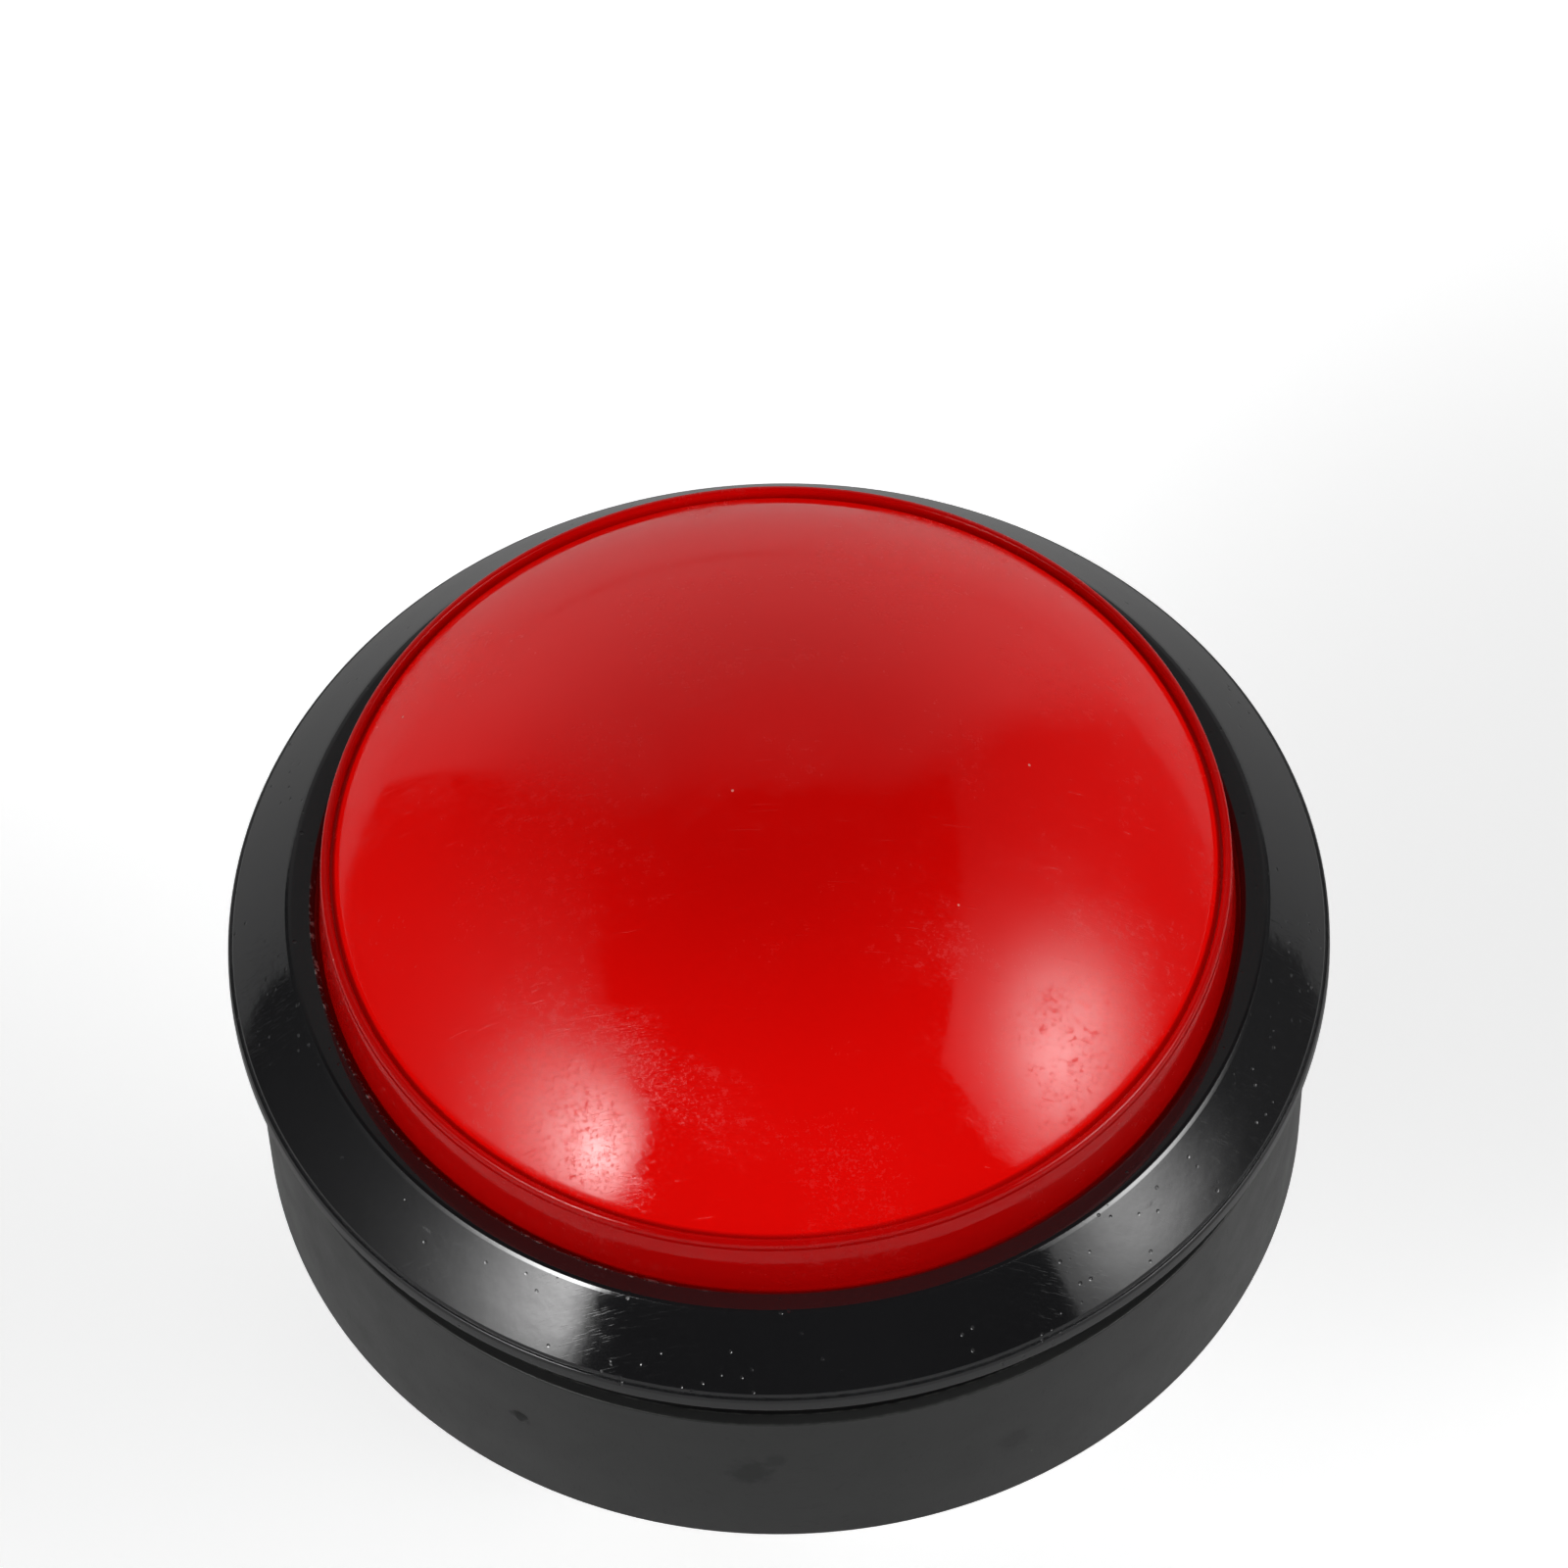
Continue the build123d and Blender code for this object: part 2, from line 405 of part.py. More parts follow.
# common terminal, through the end wall, with its stepped tab
com = box(COM_X0, COM_X1, SW_Y1 - 6.5, SW_Y1 + 0.9, COM_Z0, COM_Z1)
cm = (COM_Z0 + COM_Z1) / 2
com += plate_x([(SW_Y1 + 0.9, cm - 3.15), (SW_Y1 + 7.4, cm - 3.15), (SW_Y1 + 9.0, cm - 1.7), (SW_Y1 + 9.0, cm + 1.7),
                (SW_Y1 + 7.4, cm + 3.15), (SW_Y1 + 0.9, cm + 3.15)], COM_X0, COM_X1)
com -= cyl_x(0.85, COM_X0 - 1, COM_X1 + 1, SW_Y1 + 4.2, cm) + cyl_x(0.85, COM_X0 - 1, COM_X1 + 1, SW_Y1 + 5.6, cm) \
    + box(COM_X0 - 1, COM_X1 + 1, SW_Y1 + 4.2, SW_Y1 + 5.6, cm - 0.85, cm + 0.85)
# upright inside that carries the blade's root
com += box(COM_X0, COM_X1, SW_Y1 - 6.5, SW_Y1 - 5.0, COM_Z1, SW_TOP - 4.6)
parts["switch_com_terminal"] = com

# normally open terminal, down through the long side and bent along it
no = box(NO_X0, NO_X1, NO_Y0, NO_Y1, SW_BOT - 1.9, SW_BOT + 3.6)
nm = (NO_X0 + NO_X1) / 2
no_tab = Polyline((nm - 2.4, NO_Y0), (nm + 2.4, NO_Y0), (nm + 2.4, NO_Y1 + 0.8), (nm + 3.15, NO_Y1 + 1.4),
                  (nm + 3.15, NO_Y1 + 7.4), (nm + 1.8, NO_Y1 + 9.0), (nm - 1.8, NO_Y1 + 9.0),
                  (nm - 3.15, NO_Y1 + 7.4), (nm - 3.15, NO_Y1 + 1.4), (nm - 2.4, NO_Y1 + 0.8), close=True)
no += extrude(Plane.XY.offset(SW_BOT - 2.7) * make_face(no_tab), 0.8)
no -= cyl(0.85, SW_BOT - 4, SW_BOT - 1, nm, NO_Y1 + 4.4) + cyl(0.85, SW_BOT - 4, SW_BOT - 1, nm, NO_Y1 + 5.8) \
    + box(nm - 0.85, nm + 0.85, NO_Y1 + 4.4, NO_Y1 + 5.8, SW_BOT - 4, SW_BOT - 1)
# arm inside, running under the blade's free end
no += box(-9.8, -7.8, CONTACT_Y - 1.2, NO_Y1, SW_BOT + 3.6, SW_BOT + 4.4)
parts["switch_no_terminal"] = no

# snap blade from the common upright to the free end below the button
BL_Z = SW_TOP - 4.6
blade = box(BUTTON_X - 1.6, BUTTON_X + 1.6, -2.6, SW_Y1 - 5.0, BL_Z, BL_Z + 0.3)
blade -= box(BUTTON_X - 0.7, BUTTON_X + 0.7, 3.4, 12.0, BL_Z - 1, BL_Z + 1)
parts["switch_snap_blade"] = blade

# silver contact rivets, one on the blade, one on the fixed arm
c1 = cyl(1.1, BL_Z - 0.9, BL_Z, BUTTON_X, CONTACT_Y)
c2 = cyl(1.1, SW_BOT + 4.4, SW_BOT + 5.3, BUTTON_X, CONTACT_Y)
parts["switch_contacts"] = Compound(children=[c1.solids()[0], c2.solids()[0]])

# ---------------------------------------------------------------------- write
os.makedirs("parts", exist_ok=True)
for name, shape in parts.items():
    solids = shape.solids()
    if len(solids) == 1 and not isinstance(shape, Solid):
        shape = solids[0]
    export_step(shape, "parts/" + name + ".step")
    print(name, len(solids), round(sum(s.volume for s in solids), 1))
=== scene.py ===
import bpy, bmesh, math, json, random
from mathutils import Vector, Matrix


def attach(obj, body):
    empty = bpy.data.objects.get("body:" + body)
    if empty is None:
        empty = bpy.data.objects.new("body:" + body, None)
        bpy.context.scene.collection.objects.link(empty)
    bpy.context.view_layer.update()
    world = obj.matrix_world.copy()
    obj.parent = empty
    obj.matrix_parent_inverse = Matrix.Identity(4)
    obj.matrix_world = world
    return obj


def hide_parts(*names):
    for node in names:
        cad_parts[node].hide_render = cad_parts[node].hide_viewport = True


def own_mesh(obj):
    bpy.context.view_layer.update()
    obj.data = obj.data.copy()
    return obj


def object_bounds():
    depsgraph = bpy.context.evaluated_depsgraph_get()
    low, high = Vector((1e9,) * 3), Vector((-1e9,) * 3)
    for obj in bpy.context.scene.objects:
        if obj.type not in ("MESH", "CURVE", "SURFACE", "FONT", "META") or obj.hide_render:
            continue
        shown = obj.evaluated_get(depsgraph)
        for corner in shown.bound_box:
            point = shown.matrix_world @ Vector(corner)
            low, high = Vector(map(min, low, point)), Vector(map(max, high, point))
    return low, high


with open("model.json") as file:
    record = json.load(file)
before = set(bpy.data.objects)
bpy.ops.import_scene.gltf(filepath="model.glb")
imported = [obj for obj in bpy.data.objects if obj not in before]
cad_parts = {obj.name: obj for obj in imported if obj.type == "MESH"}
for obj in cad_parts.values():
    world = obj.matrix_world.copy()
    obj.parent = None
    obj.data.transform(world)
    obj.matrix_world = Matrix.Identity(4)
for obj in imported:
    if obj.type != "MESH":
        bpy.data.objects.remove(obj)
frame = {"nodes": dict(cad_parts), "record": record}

SCN = bpy.context.scene
NODES = frame["nodes"]
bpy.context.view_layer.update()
SEG = 288

# =====================================================================
# camera: long lens, 56.4 degrees above the horizon, a slight roll
# =====================================================================
ELEV, ROLL, PX_MM = math.radians(56.41), math.radians(-1.957), 11.236
R0 = Vector((1, 0, 0))
U0 = Vector((0, math.sin(ELEV), math.cos(ELEV)))
BACK = Vector((0, -math.cos(ELEV), math.sin(ELEV)))
CR = R0 * math.cos(ROLL) + U0 * math.sin(ROLL)
CU = -R0 * math.sin(ROLL) + U0 * math.cos(ROLL)
aim = Vector((0, 0, 0.020)) + (CR * (3.88 / PX_MM) + CU * (202.07 / PX_MM)) * 0.001
DIST = 6.0
cam_data = bpy.data.cameras.new("camera")
cam_data.type = "PERSP"
cam_data.sensor_width = 36.0
cam_data.lens = 36.0 * DIST / (1600 / PX_MM * 0.001)
cam_data.clip_start, cam_data.clip_end = 0.5, 30.0
cam = bpy.data.objects.new("camera", cam_data)
SCN.collection.objects.link(cam)
m = Matrix((CR, CU, BACK)).transposed().to_4x4()
m.translation = aim + BACK * DIST
cam.matrix_world = m
SCN.camera = cam

try:
    SCN.view_settings.view_transform = "Standard"
    SCN.view_settings.look = "None"
except TypeError:
    pass


# =====================================================================
# mesh helpers (profiles in mm, meshes in metres)
# =====================================================================
def new_obj(name, verts, faces, sharp=38.0):
    me = bpy.data.meshes.new(name)
    me.from_pydata([(v[0] * 0.001, v[1] * 0.001, v[2] * 0.001) for v in verts], [], faces)
    me.validate()
    ob = bpy.data.objects.new(name, me)
    SCN.collection.objects.link(ob)
    finish_mesh(ob, sharp)
    return ob


def finish_mesh(ob, sharp=38.0, weld=0.0):
    bm = bmesh.new()
    bm.from_mesh(ob.data)
    if weld:
        bmesh.ops.remove_doubles(bm, verts=bm.verts, dist=weld)
    bmesh.ops.recalc_face_normals(bm, faces=bm.faces)
    lim = math.radians(sharp)
    for f in bm.faces:
        f.smooth = True
    for e in bm.edges:
        e.smooth = not (len(e.link_faces) == 2 and e.calc_face_angle(0.0) > lim)
    bm.to_mesh(ob.data)
    bm.free()


def soften(pts, radii, closed=True, steps=4):
    """Rounds the corners of a profile. radii maps a corner's index to its radius; 'd' is the default."""
    out = []
    n = len(pts)
    for i, p in enumerate(pts):
        r = radii.get(i, radii.get("d", 0.0))
        if (not closed and i in (0, n - 1)) or r <= 0:
            out.append(p)
            continue
        a, b, c = Vector(pts[i - 1]), Vector(p), Vector(pts[(i + 1) % n])
        u, v = (a - b), (c - b)
        if u.length < 1e-6 or v.length < 1e-6:
            continue
        ang = u.angle(v)
        if ang > math.radians(176):
            out.append(p)
            continue
        cut = min(r / math.tan(ang / 2), 0.46 * u.length, 0.46 * v.length)
        s, e = b + u.normalized() * cut, b + v.normalized() * cut
        for k in range(steps + 1):
            t = k / steps
            q = s * (1 - t) ** 2 + b * 2 * t * (1 - t) + e * t ** 2
            out.append((q.x, q.y))
    return out


def lathe(name, prof, n=SEG, closed=True, sharp=38.0, warp=None, cx=0.0, cy=0.0):
    """Solid of revolution about a vertical axis. prof is a list of (r, z); warp(r, z, angle) may move a point."""
    verts, rows, faces = [], [], []
    for (r, z) in prof:
        if r < 1e-6:
            rows.append([len(verts)])
            verts.append((cx, cy, z))
            continue
        row = []
        for k in range(n):
            a = 2 * math.pi * k / n
            rr, zz = warp(r, z, a) if warp else (r, z)
            row.append(len(verts))
            verts.append((cx + rr * math.cos(a), cy + rr * math.sin(a), zz))
        rows.append(row)
    m_ = len(rows)
    for i in range(m_ if closed else m_ - 1):
        a, b = rows[i], rows[(i + 1) % m_]
        if len(a) == 1 and len(b) == 1:
            continue
        for k in range(n):
            k2 = (k + 1) % n
            if len(a) == 1:
                faces.append((a[0], b[k], b[k2]))
            elif len(b) == 1:
                faces.append((a[k], b[0], a[k2]))
            else:
                faces.append((a[k], b[k], b[k2], a[k2]))
    return new_obj(name, verts, faces, sharp)


def block(name, x0, x1, y0, y1, z0, z1, rot=0.0):
    c, s = math.cos(rot), math.sin(rot)
    vs = []
    for z in (z0, z1):
        for (x, y) in ((x0, y0), (x1, y0), (x1, y1), (x0, y1)):
            vs.append((x * c - y * s, x * s + y * c, z))
    fs = [(0, 3, 2, 1), (4, 5, 6, 7), (0, 1, 5, 4), (1, 2, 6, 5), (2, 3, 7, 6), (3, 0, 4, 7)]
    return new_obj(name, vs, fs)


def sector(name, r0, r1, z0, z1, a0, a1, n=24):
    vs, fs = [], []
    for i in range(n + 1):
        a = math.radians(a0 + (a1 - a0) * i / n)
        for (r, z) in ((r0, z0), (r1, z0), (r1, z1), (r0, z1)):
            vs.append((r * math.cos(a), r * math.sin(a), z))
    for i in range(n):
        b, c = 4 * i, 4 * i + 4
        for j in range(4):
            fs.append((b + j, b + (j + 1) % 4, c + (j + 1) % 4, c + j))
    fs += [(3, 2, 1, 0), (4 * n, 4 * n + 1, 4 * n + 2, 4 * n + 3)]
    return new_obj(name, vs, fs)


def join(objs, name):
    bm = bmesh.new()
    for o in objs:
        bm.from_mesh(o.data)
    me = bpy.data.meshes.new(name)
    bm.to_mesh(me)
    bm.free()
    for o in objs:
        bpy.data.objects.remove(o)
    ob = bpy.data.objects.new(name, me)
    SCN.collection.objects.link(ob)
    return ob


def heal(ob, dist=2e-6):
    """Welds slivers left by booleans, drops doubled faces and closes what small gaps remain."""
    bm = bmesh.new()
    bm.from_mesh(ob.data)
    bmesh.ops.remove_doubles(bm, verts=bm.verts, dist=dist)
    bmesh.ops.dissolve_degenerate(bm, dist=dist, edges=bm.edges)
    seen, twice = set(), []
    for f in bm.faces:
        k = frozenset(v.index for v in f.verts)
        if k in seen or f.calc_area() < 1e-14:
            twice.append(f)
        seen.add(k)
    bmesh.ops.delete(bm, geom=twice, context="FACES")
    bmesh.ops.delete(bm, geom=[e for e in bm.edges if not e.link_faces], context="EDGES")
    gaps = [e for e in bm.edges if len(e.link_faces) == 1]
    if gaps:
        bmesh.ops.holes_fill(bm, edges=gaps, sides=12)
    bmesh.ops.triangulate(bm, faces=[f for f in bm.faces if len(f.verts) > 4])
    bm.to_mesh(ob.data)
    bm.free()
    ob.data.validate()


def boolean(ob, other, op, tolerant=False):
    """Applies one exact boolean and removes the tool."""
    md = ob.modifiers.new("b", "BOOLEAN")
    md.operation, md.solver, md.object = op, "EXACT", other
    md.use_self = md.use_hole_tolerant = tolerant
    dg = bpy.context.evaluated_depsgraph_get()
    me = bpy.data.meshes.new_from_object(ob.evaluated_get(dg))
    ob.modifiers.clear()
    ob.data = me
    bpy.data.objects.remove(other)


def tube(name, path, rad, sides=10, cap=True, sharp=60.0):
    """Round bar along a list of points in mm."""
    pts = [Vector(p) for p in path]
    vs, fs, prev = [], [], None
    up = Vector((0, 0, 1))
    for i, p in enumerate(pts):
        t = (pts[min(i + 1, len(pts) - 1)] - pts[max(i - 1, 0)]).normalized()
        if prev is None:
            ref = up if abs(t.dot(up)) < 0.9 else Vector((1, 0, 0))
            nrm = (ref - t * ref.dot(t)).normalized()
        else:
            nrm = (prev - t * prev.dot(t)).normalized()
        prev = nrm
        bn = t.cross(nrm)
        for k in range(sides):
            a = 2 * math.pi * k / sides
            q = p + (nrm * math.cos(a) + bn * math.sin(a)) * rad
            vs.append(tuple(q))
    for i in range(len(pts) - 1):
        for k in range(sides):
            k2 = (k + 1) % sides
            fs.append((i * sides + k, i * sides + k2, (i + 1) * sides + k2, (i + 1) * sides + k))
    if cap:
        fs.append(tuple(reversed(range(sides))))
        fs.append(tuple(range((len(pts) - 1) * sides, len(pts) * sides)))
    return new_obj(name, vs, fs, sharp)


# =====================================================================
# material helper
# =====================================================================
class Mat:
    """Small wrapper round a Principled material whose textures work in millimetres."""

    def __init__(self, name, **sockets):
        self.mat = bpy.data.materials.new(name)
        self.mat.use_nodes = True
        self.t = self.mat.node_tree
        self.t.nodes.clear()
        self.out = self.n("ShaderNodeOutputMaterial")
        self.p = self.n("ShaderNodeBsdfPrincipled")
        self.t.links.new(self.p.outputs[0], self.out.inputs["Surface"])
        tc = self.n("ShaderNodeTexCoord")
        sc = self.n("ShaderNodeVectorMath", operation="SCALE")
        sc.inputs["Scale"].default_value = 1000.0
        self.t.links.new(tc.outputs["Object"], sc.inputs[0])
        self.mm = sc.outputs[0]
        self.set(**sockets)

    def n(self, kind, **props):
        node = self.t.nodes.new(kind)
        for k, v in props.items():
            setattr(node, k, v)
        return node

    def set(self, **sockets):
        for k, v in sockets.items():
            key = k.replace("_", " ")
            if key not in self.p.inputs:
                raise KeyError(key)
            self.p.inputs[key].default_value = v

    def link(self, src, key):
        self.t.links.new(src, self.p.inputs[key])

    def scaled(self, x, y, z, rot=(0, 0, 0), vec=None):
        mp = self.n("ShaderNodeMapping")
        mp.inputs["Rotation"].default_value = rot
        mp.inputs["Scale"].default_value = (x, y, z)
        self.t.links.new(vec or self.mm, mp.inputs["Vector"])
        return mp.outputs[0]

    def noise(self, scale, detail=3.0, rough=0.5, vec=None, dist=0.0):
        nd = self.n("ShaderNodeTexNoise")
        nd.inputs["Scale"].default_value = scale
        nd.inputs["Detail"].default_value = detail
        nd.inputs["Roughness"].default_value = rough
        nd.inputs["Distortion"].default_value = dist
        self.t.links.new(vec or self.mm, nd.inputs["Vector"])
        return nd.outputs[0]

    def voronoi(self, scale, vec=None, feature="F1", rnd=1.0):
        nd = self.n("ShaderNodeTexVoronoi", feature=feature)
        nd.inputs["Scale"].default_value = scale
        nd.inputs["Randomness"].default_value = rnd
        self.t.links.new(vec or self.mm, nd.inputs["Vector"])
        return nd

    def math(self, op, a, b=None, clamp=False):
        nd = self.n("ShaderNodeMath", operation=op, use_clamp=clamp)
        for i, v in enumerate((a, b)):
            if v is None:
                continue
            if isinstance(v, (int, float)):
                nd.inputs[i].default_value = v
            else:
                self.t.links.new(v, nd.inputs[i])
        return nd.outputs[0]

    def remap(self, src, a, b, lo, hi, kind="LINEAR"):
        nd = self.n("ShaderNodeMapRange", interpolation_type=kind)
        nd.inputs["From Min"].default_value = a
        nd.inputs["From Max"].default_value = b
        nd.inputs["To Min"].default_value = lo
        nd.inputs["To Max"].default_value = hi
        self.t.links.new(src, nd.inputs["Value"])
        return nd.outputs[0]

    def mix(self, fac, a, b):
        nd = self.n("ShaderNodeMix", data_type="RGBA", clamp_factor=True)
        self.t.links.new(fac, nd.inputs[0])
        for i, v in ((6, a), (7, b)):
            if isinstance(v, tuple):
                nd.inputs[i].default_value = v if len(v) == 4 else v + (1.0,)
            else:
                self.t.links.new(v, nd.inputs[i])
        return nd.outputs[2]

    def bump(self, height, strength, distance, after=None):
        nd = self.n("ShaderNodeBump")
        nd.inputs["Strength"].default_value = strength
        nd.inputs["Distance"].default_value = distance
        self.t.links.new(height, nd.inputs["Height"])
        if after is not None:
            self.t.links.new(after, nd.inputs["Normal"])
        return nd.outputs[0]

    def xyz(self, vec=None):
        nd = self.n("ShaderNodeSeparateXYZ")
        self.t.links.new(vec or self.mm, nd.inputs[0])
        return nd.outputs

    def radius(self):
        x, y, _ = self.xyz()
        return self.math("SQRT", self.math("ADD", self.math("MULTIPLY", x, x), self.math("MULTIPLY", y, y)))

    def scratches(self, rots, length=0.05, width=6.0, thr=0.66, seed=0.0):
        """Sparse hair scratches running in several directions; 0 to 1."""
        total = None
        for i, a in enumerate(rots):
            v = self.scaled(length, width, length * 3, rot=(0.3 * i + seed, 0.2 * i, a))
            s = self.remap(self.noise(1.0, 2.0, 0.6, vec=v, dist=0.25), thr, thr + 0.05, 0.0, 1.0)
            total = s if total is None else self.math("MAXIMUM", total, s)
        return total

    def specks(self, scale, size, keep=0.72):
        """Dust specks: small spots in a share of the cells."""
        v = self.voronoi(scale)
        near = self.remap(v.outputs["Distance"], size * 0.6, size, 1.0, 0.0)
        sp = self.n("ShaderNodeSeparateColor")
        self.t.links.new(v.outputs["Color"], sp.inputs[0])
        on = self.math("GREATER_THAN", sp.outputs[0], keep)
        return self.math("MULTIPLY", near, on)


def edge_wear(mt, width_mm=0.25):
    """1 on convex edges, 0 on flats, from the bevel normal's difference."""
    bv = mt.n("ShaderNodeBevel")
    bv.samples = 4
    bv.inputs["Radius"].default_value = width_mm * 0.001
    ge = mt.n("ShaderNodeNewGeometry")
    dt = mt.n("ShaderNodeVectorMath", operation="DOT_PRODUCT")
    mt.t.links.new(bv.outputs[0], dt.inputs[0])
    mt.t.links.new(ge.outputs["Normal"], dt.inputs[1])
    return mt.remap(dt.outputs["Value"], 0.995, 0.90, 0.0, 1.0)


# ---- red lens -------------------------------------------------------
def red_lens(name, deep):
    mt = Mat(name, IOR=1.49, Specular_IOR_Level=0.30 if deep else 0.5)
    big = mt.noise(0.05, 3.0, 0.55)
    fine = mt.noise(0.7, 4.0, 0.6)
    blend = mt.math("ADD", mt.math("MULTIPLY", big, 0.7), mt.math("MULTIPLY", fine, 0.3))
    if deep:
        base = mt.mix(blend, (0.52, 0.0010, 0.0010), (0.68, 0.0018, 0.0016))
    else:
        # painted light: the crown's colour grows lighter from the centre out to its edge, standing in for the extra
        # light its outer part receives
        inner = mt.mix(blend, (0.53, 0.0008, 0.0004), (0.62, 0.0016, 0.0008))
        outer = mt.mix(blend, (0.93, 0.0022, 0.0014), (1.0, 0.0036, 0.0020))
        base = mt.mix(mt.remap(mt.radius(), 9.0, 38.0, 0.0, 1.0, "SMOOTHSTEP"), inner, outer)
    if not deep:
        # painted shade: a dark band just under the crown's rounded edge stands in for the dark line that refraction
        # makes there
        base = mt.mix(mt.remap(mt.xyz()[2], 39.05, 39.45, 0.62, 0.0, "SMOOTHSTEP"), base, (0.26, 0.0012, 0.0020))
    streak = mt.scratches([0.2, 0.75, 1.3, 1.85, 2.4, 2.95], 0.40, 5.0, 0.525)
    rare = mt.scratches([0.5, 1.7, 2.9], 0.12, 4.0, 0.715, seed=0.9)
    worn = mt.remap(mt.noise(0.075, 4.0, 0.62), 0.38, 0.60, 0.15, 1.0, "SMOOTHSTEP")
    mottle = mt.remap(mt.noise(1.1, 6.0, 0.74), 0.50, 0.63, 0.0, 1.0)
    dust = mt.specks(0.30, 0.045, 0.86)
    base = mt.mix(mt.math("MULTIPLY", dust, 0.7), base, (0.85, 0.45, 0.38))
    dark = mt.specks(0.16, 0.030, 0.90)
    base = mt.mix(mt.math("MULTIPLY", dark, 0.8), base, (0.06, 0.002, 0.002))
    mt.link(base, "Base Color")
    r = mt.math("ADD", 0.013, mt.math("MULTIPLY", worn, mt.math("MULTIPLY", mottle, 0.19)))
    r = mt.math("ADD", r, mt.math("MULTIPLY", mt.math("MULTIPLY", streak, worn), 0.16))
    # handled patches on the front of the crown: a thin broken film that dulls the gloss
    handled = None
    for (x, y, z, size) in ((-16.0, -30.5, 43.5, 15.0), (23.5, -21.5, 46.0, 17.0), (8.0, -33.0, 43.5, 12.0)):
        ds = mt.n("ShaderNodeVectorMath", operation="DISTANCE")
        mt.t.links.new(mt.mm, ds.inputs[0])
        ds.inputs[1].default_value = (x, y, z)
        one = mt.remap(ds.outputs["Value"], size * 0.35, size, 1.0, 0.0, "SMOOTHSTEP")
        handled = one if handled is None else mt.math("MAXIMUM", handled, one)
    spots = mt.remap(mt.noise(3.0, 4.0, 0.66), 0.53, 0.63, 0.0, 1.0)
    film = mt.math("MULTIPLY", mt.math("MULTIPLY", spots, handled), mt.math("ADD", mt.math("MULTIPLY", worn, 0.75), 0.25))
    r = mt.math("ADD", r, mt.math("MULTIPLY", film, 0.36))
    r = mt.math("ADD", r, mt.math("MULTIPLY", rare, 0.13))
    r = mt.math("ADD", r, mt.math("MULTIPLY", dust, 0.35), clamp=True)
    mt.link(r, "Roughness")
    b = mt.bump(mt.noise(0.10, 2.0, 0.5), 0.03, 0.0006)
    b = mt.bump(mt.math("ADD", rare, mt.math("MULTIPLY", mt.math("MULTIPLY", streak, worn), 0.45)), 0.5, 0.000014, after=b)
    b = mt.bump(film, 0.25, 0.000005, after=b)
    b = mt.bump(dust, 0.5, 0.00003, after=b)
    mt.link(b, "Normal")
    # painted glow: a faint red emission makes the lens and skirt glow from within, standing in for light carried
    # through the translucent plastic
    mt.set(Subsurface_Weight=0.12, Subsurface_Radius=(0.006, 0.0004, 0.0003), Subsurface_Scale=1.0,
           Emission_Color=(1.0, 0.004, 0.002, 1.0), Emission_Strength=0.025 if deep else 0.10)
    return mt.mat


